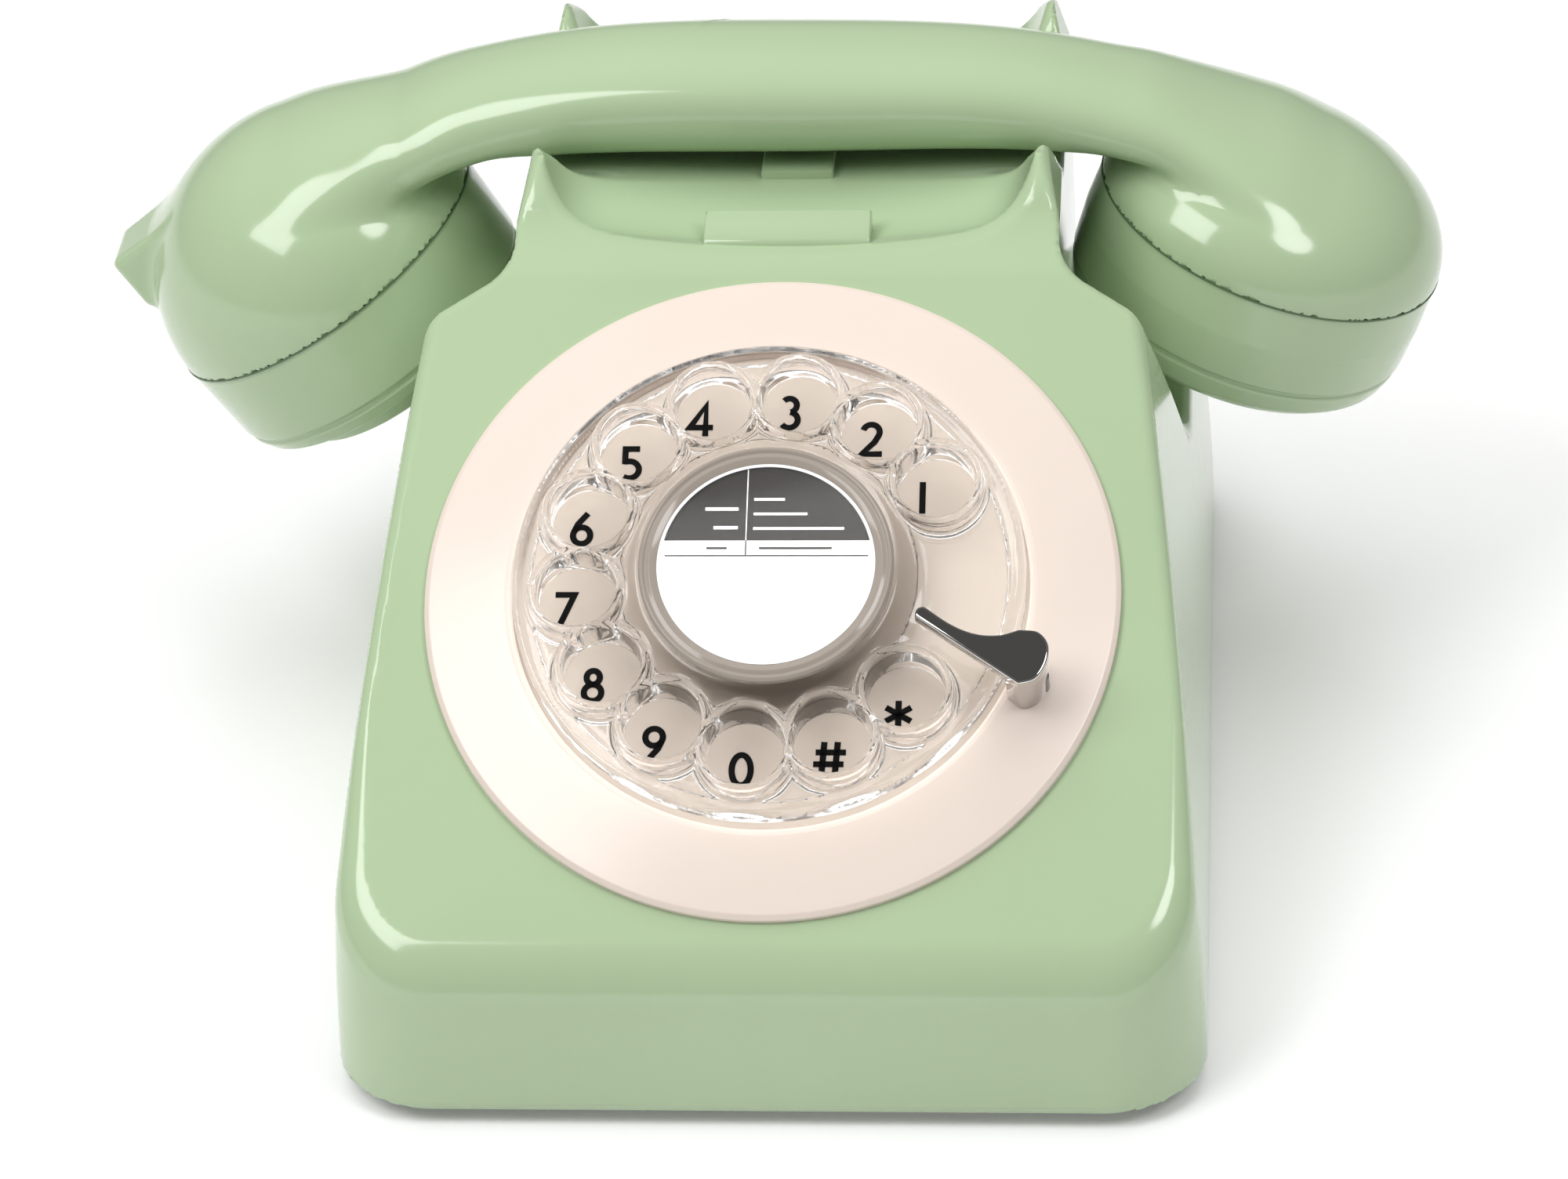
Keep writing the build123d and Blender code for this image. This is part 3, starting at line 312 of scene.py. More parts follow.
# ------------------------------------------------------------ materials
def srgb(*colour):
    """Linear colour from 0-255 display values."""
    shares = [c / 255 for c in colour]
    return tuple(((c + 0.055) / 1.055) ** 2.4 if c > 10 / 255 else c / 12.92 for c in shares) + (1.0,)


def material(name, colour, roughness=0.2, tone=0.02, grain=300.0, bump=0.02, **values):
    """Moulded or machined surface: faint cloudiness of colour, uneven polish and a fine surface grain."""
    made = bpy.data.materials.new(name)
    made.use_nodes = True
    nodes, links = made.node_tree.nodes, made.node_tree.links
    shader = nodes["Principled BSDF"]
    place = nodes.new("ShaderNodeTexCoord")
    cloud = nodes.new("ShaderNodeTexNoise")
    cloud.inputs["Scale"].default_value = 18.0
    cloud.inputs["Detail"].default_value = 3.0
    links.new(place.outputs["Object"], cloud.inputs["Vector"])
    tint = nodes.new("ShaderNodeValToRGB")
    low, high = tint.color_ramp.elements
    low.position, high.position = 0.3, 0.7
    low.color = tuple(c * (1 - tone) for c in colour[:3]) + (1.0,)
    high.color = tuple(min(1.0, c * (1 + tone)) for c in colour[:3]) + (1.0,)
    links.new(cloud.outputs["Fac"], tint.inputs["Fac"])
    links.new(tint.outputs["Color"], shader.inputs["Base Color"])
    fine = nodes.new("ShaderNodeTexNoise")
    fine.inputs["Scale"].default_value = grain
    fine.inputs["Detail"].default_value = 4.0
    links.new(place.outputs["Object"], fine.inputs["Vector"])
    polish = nodes.new("ShaderNodeMapRange")
    polish.inputs["To Min"].default_value = roughness * 0.85
    polish.inputs["To Max"].default_value = roughness * 1.15
    links.new(fine.outputs["Fac"], polish.inputs["Value"])
    links.new(polish.outputs["Result"], shader.inputs["Roughness"])
    relief = nodes.new("ShaderNodeBump")
    relief.inputs["Strength"].default_value = bump
    relief.inputs["Distance"].default_value = 0.0002
    links.new(fine.outputs["Fac"], relief.inputs["Height"])
    links.new(relief.outputs["Normal"], shader.inputs["Normal"])
    for key, value in values.items():
        shader.inputs[key.replace("_", " ")].default_value = value
    return made


GREEN = srgb(172, 193, 156)
green = material("moulded_green", GREEN, 0.14, bump=0.015, Coat_Weight=0.3, Coat_Roughness=0.05)
cream = material("moulded_cream", srgb(229, 214, 203), 0.22, bump=0.015)
beige = material("printed_plate", srgb(178, 166, 154), 0.4, tone=0.03)
clear = material("clear_plastic", srgb(252, 251, 250), 0.1, tone=0.0, bump=0.004, Transmission_Weight=1.0,
                 IOR=1.47)
ink = material("black_ink", srgb(8, 8, 8), 0.7, Specular_IOR_Level=0.1)
chrome = material("polished_chrome", srgb(205, 203, 200), 0.07, tone=0.04, bump=0.01, Metallic=1.0)
steel = material("plain_steel", srgb(150, 150, 150), 0.35, Metallic=1.0)
brass = material("machined_brass", srgb(196, 160, 92), 0.3, Metallic=1.0)
iron = material("grey_iron", srgb(90, 90, 92), 0.55, bump=0.2, Metallic=0.8)
copper = material("wound_copper", srgb(180, 105, 60), 0.35, Metallic=0.9)
black = material("moulded_black", srgb(24, 24, 24), 0.42, bump=0.08)
rubber = material("moulded_rubber", srgb(30, 30, 30), 0.75, bump=0.2)
card = material("white_card", srgb(250, 250, 249), 0.5, tone=0.01)
grey_ink = material("grey_ink", srgb(48, 46, 44), 0.6, Specular_IOR_Level=0.1)
board = material("board_laminate", srgb(142, 112, 64), 0.5)
hub = material("hub_plastic", srgb(160, 150, 140), 0.12)
# Painted shade: a dark green that stands in for the shaded gap at each handset seam
painted_seam_shade = material("painted_shade_in_the_seam", srgb(84, 108, 76), 0.5)

NODE_MATERIALS = {
    green: ["case", "handset_shell", "mouth_cap", "ear_cap", "hook_bar"],
    cream: ["dial_bezel"],
    beige: ["number_plate"],
    clear: ["finger_wheel", "label_lens"],
    hub: ["hub_ring", "label_backing"],
    card: ["label_card"],
    chrome: ["finger_stop"],
    steel: ["base_plate", "base_screws", "finger_stop_screw", "dial_frame", "dial_screws", "bridge_screws",
            "mainspring", "hook_spring", "ringer_frame", "gong_screws", "board_screws", "dial_spindle",
            "wheel_clamp_screw", "governor_worm", "clapper", "transmitter_capsule", "receiver_capsule"],
    brass: ["dial_bridge", "governor_cup", "pulse_contacts", "gong_left", "gong_right", "main_gear",
            "pulse_pinion", "worm_wheel", "governor_weights"],
    black: ["contact_block", "hook_guide", "hook_contacts", "board_components", "line_socket", "cord_socket",
            "ringer_switch", "pulse_cam", "ringer_slider", "handset_socket", "transmitter_holder",
            "receiver_holder"],
    rubber: ["rubber_feet", "transmitter_gasket", "receiver_gasket"],
    iron: ["ringer_cores", "handset_weight"],
    copper: ["ringer_coils"],
    board: ["circuit_board"],
}
for surface_material, names in NODE_MATERIALS.items():
    for name in names:
        node = frame["nodes"][name]
        node.data.materials.clear()
        node.data.materials.append(surface_material)

# ------------------------------------------------------------ case
FACE_START, FACE_END = (-96.0, 28.4), (19.57, 103.45)
WALL = 2.6
NECK_HALF = 44.3
SEAT_Z, LIP_Y, LIP_Z = 94.4, 9.2, 96.7
HORN_TOP = ((30.5, 103), (33.8, 96))
DIAL_Y, DIAL_Z = -42.41, 63.2
DIAL_COS, DIAL_SIN = 0.83867, 0.54464
DIAL = Matrix.Translation((0, DIAL_Y * MM, DIAL_Z * MM)) @ Matrix.Rotation(math.radians(33), 4, "X")
HANDSET_Y = 50.0


def circle_through(p, q, r):
    """Centre and radius of the circle through three points."""
    rows = np.array([(2 * (end[0] - p[0]), 2 * (end[1] - p[1])) for end in (q, r)])
    right = np.array([end[0] ** 2 - p[0] ** 2 + end[1] ** 2 - p[1] ** 2 for end in (q, r)])
    centre = np.linalg.solve(rows, right)
    return centre, math.dist(centre, p)


SIDE_CENTRE, SIDE_R = circle_through((68.5, 3.0), (65.4, 47.0), (57.2, 91.03))
FALL_NORMAL = Vector((0.8238, -0.4765, -0.3069)).cross(Vector((0, 0.6428, -0.7660))).normalized()


def case_body(x, y, z):
    """The outside of the case, open below."""
    x = np.abs(x)
    side = np.hypot(x - SIDE_CENTRE[0], z - SIDE_CENTRE[1]) - SIDE_R
    rear = np.maximum.reduce(slopes(y, z, (81, 104.5), (86, 84), (91, 50), (96, 3)))
    walls = round_and(14, round_and(16, slope(y, z, (-97, 3), FACE_START), side), rear)
    fall = (x - NECK_HALF) * FALL_NORMAL.x + (y - 6.8) * FALL_NORMAL.y + (z - 95.2) * FALL_NORMAL.z
    neck = np.maximum(x - NECK_HALF, slope(z, x, (98, NECK_HALF), (109, 41.3)))
    body = round_and(2, walls, round_or(4, round_or(4, fall, z - 50), neck))
    front_round = 2 + 3 * np.clip((-60 - y) / 25, 0, 1)
    body = round_and(front_round, body, slope(y, z, FACE_START, FACE_END))
    front_horn = round_and(1.5, *slopes(y, z, FACE_END, (24.2, 108.4), *HORN_TOP))
    rear_horn = round_and(1.5, *slopes(100 - y, z, (19.0, 104.5), (25, 108.4), *HORN_TOP))
    seat = round_or(6, round_or(6, z - SEAT_Z, front_horn), rear_horn)
    sag = 3.2 * np.tanh(0.14 * np.maximum(np.minimum(y, 100 - y) - LIP_Y, 0))
    rise = 2.0 * (x / 35.6) ** 12
    steep = 0.00434 * x + 12 * rise / np.maximum(x, 1)
    trough = (z - LIP_Z + sag - 0.00217 * x * x - rise) / np.sqrt(1 + steep ** 2)
    edge = 0.9 - 0.1 * np.clip((x - 22) / 14, 0, 1)
    return round_and(edge, body, round_and(2.0, seat, trough))


def case_field(x, y, z):
    """The moulded shell: walls 2.6 thick, screw bosses, carrying recess and the openings in its walls."""
    outer = case_body(x, y, z)
    recess = block(x, y, z, (0, 86, 73), (64, 48, 20))
    hollow = np.maximum(outer + WALL, WALL - recess)
    for centre_y in (-58, 68):
        boss = np.hypot(np.abs(x) - 60.5, y - centre_y) - 4.5
        hollow = np.maximum(hollow, -np.maximum(boss, 5 - z))
    shell = round_and(0.6, outer, -hollow, 3 - z)
    shell = round_and(0.8, shell, -recess)
    away = (y - DIAL_Y) * DIAL_COS + (z - DIAL_Z) * DIAL_SIN
    height = (z - DIAL_Z) * DIAL_COS - (y - DIAL_Y) * DIAL_SIN
    dial_opening = np.maximum(np.hypot(x, away) - 42.6, np.abs(height) - 12)
    line_socket = block(x, y, z, (-38, 96, 14), (13.2, 14, 11.2))
    ringer_slot = block(x, y, z, (38, 96, 14), (12, 14, 4.8))
    cord_socket = block(x, y, z, (-68.5, 36, 14), (14, 13.2, 11.2))
    for opening in (dial_opening, line_socket, ringer_slot, cord_socket):
        shell = np.maximum(shell, -opening)
    return shell


carved("case_skin", case_field, (-71, -99, 0), (71, 99, 111), 1.0, green, "base", ["case"])

# Hook bar: a bar across the trough, its top sloping forwards, and the tongue under the handset
HOOK_SIDE = Matrix(((0, 0, 1, 0), (1, 0, 0, 0), (0, 1, 0, 0), (0, 0, 0, 1)))  # outlines in Y and Z, thickness along X
HOOK_FOOT = 90
bar_profile = [(20.3, HOOK_FOOT), (20.3, 97.2), (19.7, 97.8), (18.0, 97.9), (13.2, 96.4), (12.5, 95.7), (12.3, 95.0),
               (12.3, HOOK_FOOT)]
tongue_profile = [(38, HOOK_FOOT), (62.2, HOOK_FOOT), (62.2, 95.0), (38, 95.0)]
rounded_plate("hook_bar_skin", bar_profile, -13.6, 13.6, 0.4, green, "hook", HOOK_SIDE, ["hook_bar"])
rounded_plate("hook_tongue", tongue_profile, -6, 6, 0.4, green, "hook", HOOK_SIDE)

# ------------------------------------------------------------ handset
MOUTH = dict(x=-82.7, z=71.5, lean=32.0, dome=28.0)
EAR = dict(x=78.5, z=79.0, lean=-20.0, dome=18.4)
GRIP_X = (-95.0, -80.0, -62.0, -52.0, -43.0, 0.0, 43.0, 52.0, 62.0, 76.0, 91.0)
GRIP_Z = (77.0, 86.0, 96.8, 100.2, 102.4, 104.9, 102.6, 100.4, 97.2, 87.0, 78.5)
GRIP_HALF_WIDTH = (15.0, 17.0, 16.0, 14.6, 14.2, 14.6, 14.2, 14.6, 16.0, 17.0, 15.0)
GRIP_UP = (10.0, 12.0, 10.4, 10.0, 9.6, 8.9, 8.2, 8.4, 8.8, 10.0, 10.0)
GRIP_DOWN = (12.0, 12.5, 5.0, 4.6, 6.8, 9.2, 6.8, 4.8, 4.6, 10.8, 11.0)


def boss_axes(x, z):
    """Distance into the handset along the cord boss from its mouth, and distance across it."""
    return (x + 116) * 0.8366 + (z - 69.8) * 0.5478, (z - 69.8) * 0.8366 - (x + 116) * 0.5478


def seam_matrix(end):
    """Placement of a seam: +Z out through the cap."""
    lean = math.radians(end["lean"])
    x_axis, z_axis = Vector((math.cos(lean), 0, math.sin(lean))), Vector((math.sin(lean), 0, -math.cos(lean)))
    turn = Matrix((x_axis, z_axis.cross(x_axis), z_axis)).transposed().to_4x4()
    return Matrix.Translation((end["x"] * MM, HANDSET_Y * MM, end["z"] * MM)) @ turn


def dome_field(x, y, z, end, inset=0.0):
    """Half-egg above a seam, and the height below the seam."""
    lean = math.radians(end["lean"])
    across = (x - end["x"]) * math.cos(lean) + (z - end["z"]) * math.sin(lean)
    below = (x - end["x"]) * math.sin(lean) - (z - end["z"]) * math.cos(lean)
    wide, high = 30.0 - inset, end["dome"] - inset
    flat = across ** 2 + (y - HANDSET_Y) ** 2
    near = np.sqrt(flat / wide ** 2 + below ** 2 / high ** 2)
    steep = np.sqrt(flat / wide ** 4 + below ** 2 / high ** 4)
    return near * (near - 1) / np.maximum(steep, SMALL / 10), below


def grip_field(x, y, z):
    """The grip: an oval bar that follows a curve from end to end."""
    middle = through(x, GRIP_X, GRIP_Z)
    tilt = through(x + 1, GRIP_X, GRIP_Z) - through(x - 1, GRIP_X, GRIP_Z)
    high = np.where(z > middle, through(x, GRIP_X, GRIP_UP), through(x, GRIP_X, GRIP_DOWN))
    wide = through(x, GRIP_X, GRIP_HALF_WIDTH)
    q, p = (y - HANDSET_Y) / wide, (z - middle) / high
    near = (np.abs(q) ** 2.3 + np.abs(p) ** 2.3) ** (1 / 2.3)
    steep = np.sqrt((q / wide) ** 2 + (p / high) ** 2 * (1 + (tilt / 2) ** 2)) / np.maximum(near, SMALL)
    bar = np.maximum((near - 1) / np.maximum(steep, 0.02), -8)
    return round_and(8, bar, np.abs(x + 2) - 90), p


def handset_outside(x, y, z):
    """The grip, the two domes and the cord boss in one."""
    grip, above = grip_field(x, y, z)
    rise = np.clip((above + 0.6) / 1.5, 0, 1)
    shell = grip
    for end in (MOUTH, EAR):
        shell = round_or(2.6 + 5.4 * rise * rise * (3 - 2 * rise), shell, dome_field(x, y, z, end)[0])
    along, across = boss_axes(x, z)
    flare = along * 0.08
    boss = round_and(1.2, np.abs(y - HANDSET_Y) - 6 - flare, np.abs(across) - 5.2 - flare, -along, along - 16)
    return round_or(2.0, shell, boss)


def handset_field(x, y, z):
    """The handset's one-piece shell, down to the two seams."""
    shell = handset_outside(x, y, z)
    for end in (MOUTH, EAR):
        hollow, below = dome_field(x, y, z, end, WALL)
        shell = np.maximum(shell, np.where(np.hypot(x - end["x"], z - end["z"]) < 45, below, -50))
        shell = np.maximum(shell, -np.maximum(hollow, -below - end["dome"]))
    along, across = boss_axes(x, z)
    socket = np.maximum(np.maximum(np.abs(y - HANDSET_Y) - 4.7, np.abs(across) - 3.9), along - 11)
    return np.maximum(shell, -socket)


carved("handset_skin", handset_field, (-119, 17, 55), (115, 83, 121), 0.8, green, "handset",
       ["handset_shell"],
       creases=[(handset_outside, lambda x, y, z: dome_field(x, y, z, MOUTH)[1]),
                (handset_outside, lambda x, y, z: dome_field(x, y, z, EAR)[1])])

turned(
    "mouth_cap_skin",
    [(24.5, -2, 0), (27.0, -2, 0), (27.0, 0.05, 0), (29.8, 0.12, 0.12), (29.9, 1.0, 0.6), (29.3, 14.4, 0.5),
     (28.6, 15.0, 0.2), (28.6, 15.5, 0.2), (28.9, 16.0, 0.5), (27.8, 18.2, 1.0), (25.4, 19.1, 0.8), (22.2, 19.4, 0.5),
     (21.4, 22.4, 0.8), (19.6, 23.3, 1.0), (17.0, 22.2, 1.5), (0, 21.2, 0), (0, 18.6, 0), (20, 18.6, 0),
     (24.5, 16, 0)],
    green, "handset", seam_matrix(MOUTH), ["mouth_cap"])
turned(
    "ear_cap_skin",
    [(24.5, -2, 0), (27.0, -2, 0), (27.0, 0.05, 0), (29.9, 0.12, 0.12), (30.1, 8, 4), (29.7, 15.4, 0.5),
     (29.1, 15.8, 0.2), (29.1, 16.3, 0.2), (29.4, 16.8, 0.6), (28.4, 20.0, 3), (26.0, 22.0, 2), (22.5, 22.2, 1.5),
     (20.0, 22.2, 1.5), (0, 19.6, 0), (0, 17, 0), (22, 17, 0), (24.5, 15, 0)],
    green, "handset", seam_matrix(EAR), ["ear_cap"])
# Thin dark green rings at the two handset seams: painted shade where the gap between cap and shell lies in shade
seam_profile = [(29.0, -0.16, 0), (30.12, -0.16, 0), (30.12, 0.16, 0), (29.0, 0.16, 0)]
for name, end in (("mouth_seam_shade_ring", MOUTH), ("ear_seam_shade_ring", EAR)):
    turned(name, seam_profile, painted_seam_shade, "handset", seam_matrix(end))

# ------------------------------------------------------------ dial
HOLE_CIRCLE, FIRST_HOLE, HOLE_STEP = 30.1, 30.2, 26.1
HOLE_ANGLES = [math.radians(FIRST_HOLE + HOLE_STEP * k) for k in range(12)]
HOLES = [(HOLE_CIRCLE * math.cos(angle), HOLE_CIRCLE * math.sin(angle)) for angle in HOLE_ANGLES]
WHEEL_R, HUB_HOLE_R, WHEEL_FOOT = 40.4, 3.0, 4.4


def wheel_field(u, v, n):
    """The clear finger wheel: a dished disc with a raised rim, and a collar round each finger hole."""
    r = np.hypot(u, v)
    top = through(r, (3.0, 19.0, 20.6, 21.8, 23.5, 26.0, 36.0, 38.0, 39.0, 39.8, 40.8),
                  (11.5, 11.5, 11.6, 10.8, 9.6, 8.8, 7.6, 7.5, 7.8, 7.9, 7.6))
    disc = round_and(0.8, (n - top) * 0.95, WHEEL_FOOT - n, r - WHEEL_R, HUB_HOLE_R - r)
    under = round_and(0.4, np.abs(r - 30) - 7.6, n - 5.2)
    disc = np.maximum(disc, -under)
    collars = 1e3
    holes = 1e3
    for a, b in HOLES:
        away = np.hypot(u - a, v - b)
        collars = np.minimum(collars, away - 7.5)
        holes = np.minimum(holes, away - 6.2)
    collars = round_and(0.6, collars, n - 11.0, WHEEL_FOOT - n)
    return round_and(0.5, round_or(1.2, disc, collars), -holes)


carved("finger_wheel_clear", wheel_field, (-42, -42, 3.4), (42, 42, 13), 0.5, clear, "dial",
       ["finger_wheel"], DIAL)

turned(
    "dial_bezel_ring",
    [(42.6, -2.6, 0.2), (42.6, 0, 0), (55.0, 0.0, 0), (55.0, 0.9, 0.3), (54.2, 1.5, 0.8), (42.0, 3.7, 0.5),
     (41.2, 3.7, 0.4), (40.8, 3.2, 0.2), (40.8, -2.6, 0.2)],
    cream, "base", DIAL, ["dial_bezel"], segments=256)


# Digits are strokes on a grid one digit tall, its origin in the digit's middle.
def arc(x, y, wide, high, start, end, steps=16):
    """Points along part of an oval, angles in degrees."""
    angles = [math.radians(start + (end - start) * k / steps) for k in range(steps + 1)]
    return [(x + wide * math.cos(a), y + high * math.sin(a)) for a in angles]


GLYPHS = {
    "1": [[(0, -0.5), (0, 0.5)]],
    "2": [arc(0, 0.24, 0.24, 0.24, 165, -30) + [(0.1, -0.08), (-0.26, -0.46), (0.32, -0.46)]],
    "3": [arc(0, 0.25, 0.21, 0.22, 140, -80), arc(0, -0.22, 0.25, 0.25, 85, -145)],
    "4": [[(0.14, -0.5), (0.14, 0.48), (-0.32, -0.22), (0.36, -0.22)]],
    "5": [[(0.25, 0.46), (-0.17, 0.46), (-0.17, 0.06)] + arc(-0.04, -0.2, 0.28, 0.27, 110, -125)],
    "6": [arc(0, -0.2, 0.25, 0.26, 0, 360, 28), [(-0.23, -0.1), (-0.12, 0.16), (0.16, 0.5)]],
    "7": [[(-0.28, 0.46), (0.27, 0.46), (-0.12, -0.5)]],
    "8": [arc(0, 0.25, 0.19, 0.21, 0, 360, 24), arc(0, -0.22, 0.25, 0.25, 0, 360, 28)],
    "9": [arc(0, 0.2, 0.25, 0.26, 0, 360, 28), [(0.23, 0.1), (0.12, -0.16), (-0.16, -0.5)]],
    "0": [arc(0, 0, 0.27, 0.46, 0, 360, 36)],
    "#": [[(-0.22, -0.5), (-0.16, 0.5)], [(0.16, -0.5), (0.22, 0.5)], [(-0.4, 0.18), (0.46, 0.18)],
          [(-0.46, -0.18), (0.4, -0.18)]],
    "*": [[(0, -0.42), (0, 0.42)], [(-0.36, -0.21), (0.36, 0.21)], [(-0.36, 0.21), (0.36, -0.21)]],
}


def strokes(lines, half):
    """Flat ribbons along lines, with their faces."""
    points, faces = [], []
    for line in lines:
        first = len(points)
        closed = math.dist(line[0], line[-1]) < 1e-6
        if closed:
            line = line[:-1]
        for n, here in enumerate(line):
            before = line[n - 1] if n or closed else here
            after = line[(n + 1) % len(line)] if n < len(line) - 1 or closed else here
            here = Vector(here)
            one, two = here - Vector(before), Vector(after) - here
            one = one.normalized() if one.length else two.normalized()
            two = two.normalized() if two.length else one
            across = Vector((-one.y - two.y, one.x + two.x)).normalized()
            across *= half / max(0.45, across.dot(Vector((-one.y, one.x))))
            points += [tuple(here + across), tuple(here - across)]
        count = len(points) - first
        for n in range(0, count if closed else count - 2, 2):
            a, b = first + n, first + (n + 2) % count
            faces.append((a, a + 1, b + 1, b))
    return points, faces


DIGITS = (("1", 23.5, 16.1), ("2", 15.1, 26.3), ("3", 1.9, 31.0), ("4", -12.2, 29.7), ("5", -23.1, 22.2),
          ("6", -30.4, 10.7), ("7", -32.5, -3.2), ("8", -27.4, -16.2), ("9", -17.4, -26.0), ("0", -3.6, -30.4),
          ("#", 10.1, -28.4), ("*", 20.6, -21.0))
DIGIT_TALL, STROKE_HALF, PRINT_HEIGHT = 5.5, 0.5, 1.96
digit_points, digit_faces = [], []
for sign, u, v in DIGITS:
    lines = [[(u + a * DIGIT_TALL, v + b * DIGIT_TALL) for a, b in line] for line in GLYPHS[sign]]
    flat_points, flat_faces = strokes(lines, STROKE_HALF)
    start = len(digit_points)
    digit_points += [(a, b, PRINT_HEIGHT) for a, b in flat_points]
    digit_faces += [tuple(start + n for n in face) for face in flat_faces]
piece("printed_digits", digit_points, digit_faces, ink, "base", matrix=DIAL)

turned("number_plate_disc", [(8, 0.4, 0.1), (41.2, 0.4, 0.1), (41.2, 1.9, 0.1), (8, 1.9, 0.1)], beige, "base",
       DIAL, ["number_plate"])
turned("hub_ring_turned",
       [(17.1, 11.6, 0), (20.0, 11.6, 0), (20.0, 12.5, 0.3), (19.5, 13.0, 0.3), (18.9, 12.6, 0.2), (18.2, 12.9, 0.3),
        (17.1, 12.4, 0.2)],
       hub, "dial", DIAL, ["hub_ring"])
turned("label_edge_ring", [(16.6, 12.02, 0), (17.1, 12.02, 0), (17.1, 12.5, 0.1), (16.6, 12.4, 0.1)], card, "dial",
       DIAL)
turned("label_lens_disc", [(0, 12.5, 0), (16.5, 12.5, 0.1), (16.5, 12.68, 0.08), (0, 12.68, 0)], clear, "dial",
       DIAL, ["label_lens"])
turned("label_card_disc", [(0, 11.6, 0), (16.9, 11.6, 0), (16.9, 12.0, 0), (0, 12.0, 0)], card, "dial",
       DIAL, ["label_card"])

# The label's printed areas: a dark segment above, and ruled bars where the words are
LABEL_R, DIVIDER, SEGMENT_LOW = 16.6, -3.36, 4.1
INK_HEIGHT, RULE_HEIGHT = 12.04, 12.08


def label_part(name, outline, surface_material, height=INK_HEIGHT):
    """A flat printed area on the label."""
    points = [(u, v, height) for u, v in outline]
    piece(name, points, [tuple(range(len(outline)))], surface_material, "dial", matrix=DIAL)


def bar(left, right, low, high):
    """Corners of a rectangle."""
    return [(left, low), (right, low), (right, high), (left, high)]


chord = math.degrees(math.asin(SEGMENT_LOW / LABEL_R))
label_part("label_dark_segment", arc(0, 0, LABEL_R, LABEL_R, chord, 180 - chord, 60), grey_ink)
LIGHT_RULES = (bar(-9.8, -4.6, 9.2, 9.75), bar(-8.4, -4.6, 6.0, 6.55), bar(-2.2, 2.6, 10.9, 11.35),
               bar(-2.2, 6.2, 8.4, 8.85), bar(-2.2, 12.0, 5.9, 6.35))
for n, corners in enumerate(LIGHT_RULES):
    label_part("label_light_rule_%d" % n, corners, card, RULE_HEIGHT)
label_part("label_divider", bar(DIVIDER, -3.2, SEGMENT_LOW, 16.2), card, RULE_HEIGHT)
GREY_RULES = (bar(-3.38, -3.16, 1.5, SEGMENT_LOW), bar(-15.9, 15.9, 1.4, 1.64), bar(-9.4, -6.2, 2.6, 3.0),
              bar(-1.2, 10.2, 2.6, 3.0))
for n, corners in enumerate(GREY_RULES):
    label_part("label_grey_rule_%d" % n, corners, grey_ink)


def smooth_line(points, steps=6):
    """A curve through points."""
    count = len(points)
    at = np.linspace(0, count - 1, steps * (count - 1) + 1)
    u, v = (through(at, range(count), [point[axis] for point in points]) for axis in (0, 1))
    return list(zip(u, v))


# Finger stop: a bright bent arm, and the upright that carries it on the bezel
inner = smooth_line([(24.9, -7.9), (29.3, -11.0), (33.0, -12.5), (36.6, -12.7), (39.7, -11.8)])
heel = smooth_line([(39.7, -11.8), (42.6, -12.2), (44.2, -14.4), (43.9, -17.6), (42.2, -20.2), (39.6, -21.0)])
tip = smooth_line([(24.3, -10.2), (23.5, -9.5), (23.8, -8.3), (24.9, -7.9)])
rounded_plate("finger_stop_arm", inner + heel[1:] + tip[:-1], 11.7, 14.2, 0.45, chrome, "base", DIAL,
              ["finger_stop"])
upright = smooth_line([(39.8, -12.6), (42.2, -12.7), (43.9, -14.7), (43.6, -17.5), (42.0, -19.8), (39.7, -20.5),
                       (37.6, -19.1)])
rounded_plate("finger_stop_post", upright + [(38.8, -16.0)], 1.4, 12.0, 0.3, chrome, "base", DIAL)

# Light passes through the clear pieces
for obj in bpy.data.objects:
    if obj.type == "MESH" and obj.data.materials and obj.data.materials[0] == clear:
        obj.visible_shadow = False

# ------------------------------------------------------------ stage, lights, camera
def make_camera():
    """The photograph's viewpoint."""
    camera = bpy.data.objects.new("camera", bpy.data.cameras.new("camera"))
    bpy.context.scene.collection.objects.link(camera)
    back = Vector((0.0816, -0.8352, 0.5439)).normalized()
    right = Vector((0.9953, 0.0972, 0.0)).normalized()
    right = (right - back * right.dot(back)).normalized()
    up = back.cross(right)
    roll = math.radians(-3.05)
    turned_right = right * math.cos(roll) + up * math.sin(roll)
    turned_up = up * math.cos(roll) - right * math.sin(roll)
    camera.matrix_world = MIDDLE @ Matrix.Translation((0.07588, -0.79881, 0.557)) @ Matrix(
        (turned_right, turned_up, back)).transposed().to_4x4()
    camera.data.lens = 132.14
    camera.data.sensor_width = 36
    camera.data.clip_start = 0.01
    bpy.context.scene.camera = camera


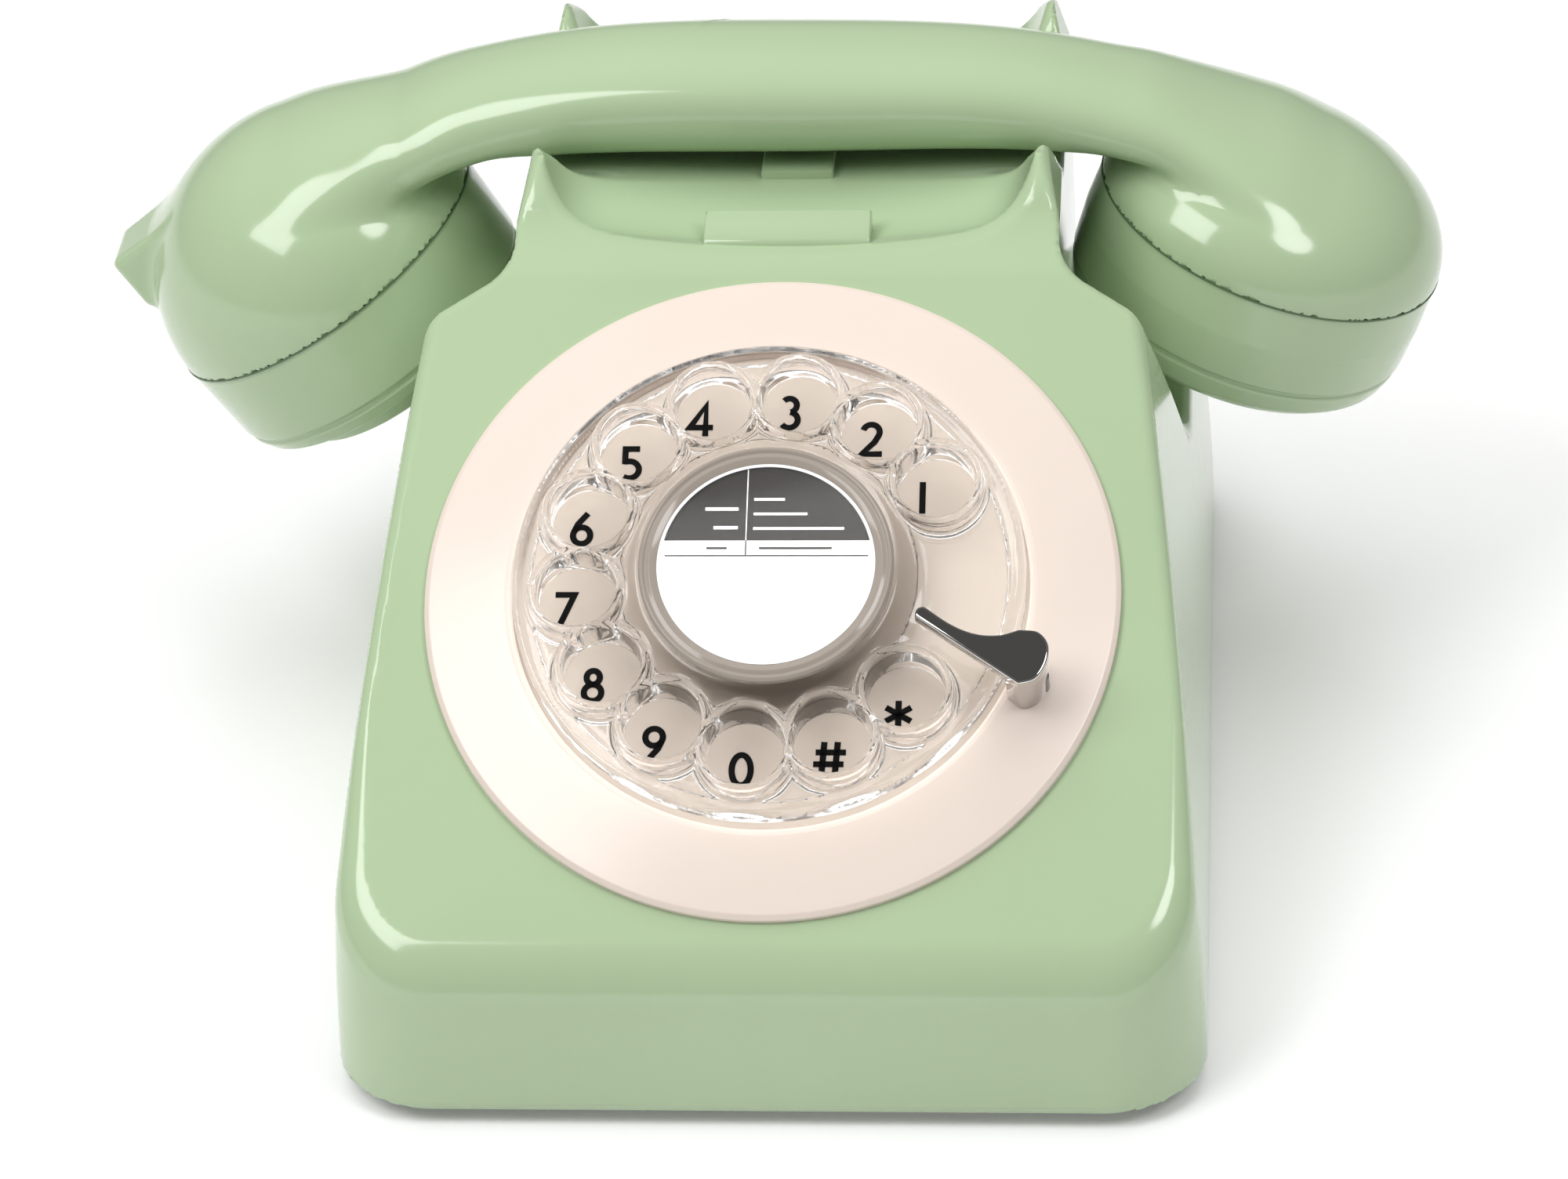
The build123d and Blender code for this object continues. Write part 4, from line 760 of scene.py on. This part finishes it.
def lamp(name, place, target, size, power, shape="SQUARE"):
    """A soft box or octagon, aimed at a point."""
    data = bpy.data.lights.new(name, "AREA")
    data.shape = shape
    data.size = size
    data.energy = power
    obj = bpy.data.objects.new(name, data)
    bpy.context.scene.collection.objects.link(obj)
    obj.location = place
    obj.rotation_euler = (Vector(target) - Vector(place)).to_track_quat("-Z", "Y").to_euler()
    return obj


floor_mesh = bpy.data.meshes.new("floor")
FLOOR_HALF = 3
floor_mesh.from_pydata([(x * FLOOR_HALF, y * FLOOR_HALF, 0) for x, y in ((-1, -1), (1, -1), (1, 1), (-1, 1))], [],
                       [(0, 1, 2, 3)])
floor = bpy.data.objects.new("floor", floor_mesh)
pale = material("pale_floor", srgb(246, 246, 246), 0.6, tone=0.004, Emission_Color=(1, 1, 1, 1),
                Emission_Strength=0.12)
floor.data.materials.append(pale)
bpy.context.scene.collection.objects.link(floor)

world = bpy.data.worlds.new("studio")
bpy.context.scene.world = world
world.use_nodes = True
tree = world.node_tree
background = tree.nodes["Background"]
background.inputs["Strength"].default_value = 1.0
direction = tree.nodes.new("ShaderNodeTexCoord")
overhead = tree.nodes.new("ShaderNodeVectorMath")
overhead.operation = "DOT_PRODUCT"
overhead.inputs[1].default_value = Vector((-0.05, -0.16, 0.985)).normalized()  # middle of a darker patch of ceiling
tree.links.new(direction.outputs["Generated"], overhead.inputs[0])
ceiling = tree.nodes.new("ShaderNodeValToRGB")
ceiling.color_ramp.elements[0].position, ceiling.color_ramp.elements[1].position = 0.86, 0.97
ceiling.color_ramp.elements[0].color = (0.17, 0.17, 0.17, 1)
ceiling.color_ramp.elements[1].color = (0.1, 0.1, 0.1, 1)
tree.links.new(overhead.outputs["Value"], ceiling.inputs["Fac"])
tree.links.new(ceiling.outputs["Color"], background.inputs["Color"])

make_camera()
PHONE_MIDDLE = (0, 0, 0.06)
lamp("soft_box_left", (-0.55, -0.45, 0.95), PHONE_MIDDLE, 0.58, 6.3)
lamp("octagon_right", (0.62, -0.42, 0.97), PHONE_MIDDLE, 0.42, 3.2, "DISK")
fill = lamp("overhead_fill", (-0.05, 0.25, 1.27), (0, 0, 0.05), 1.4, 13.2)
fill.visible_glossy = False
bpy.context.scene.view_settings.view_transform = "Standard"
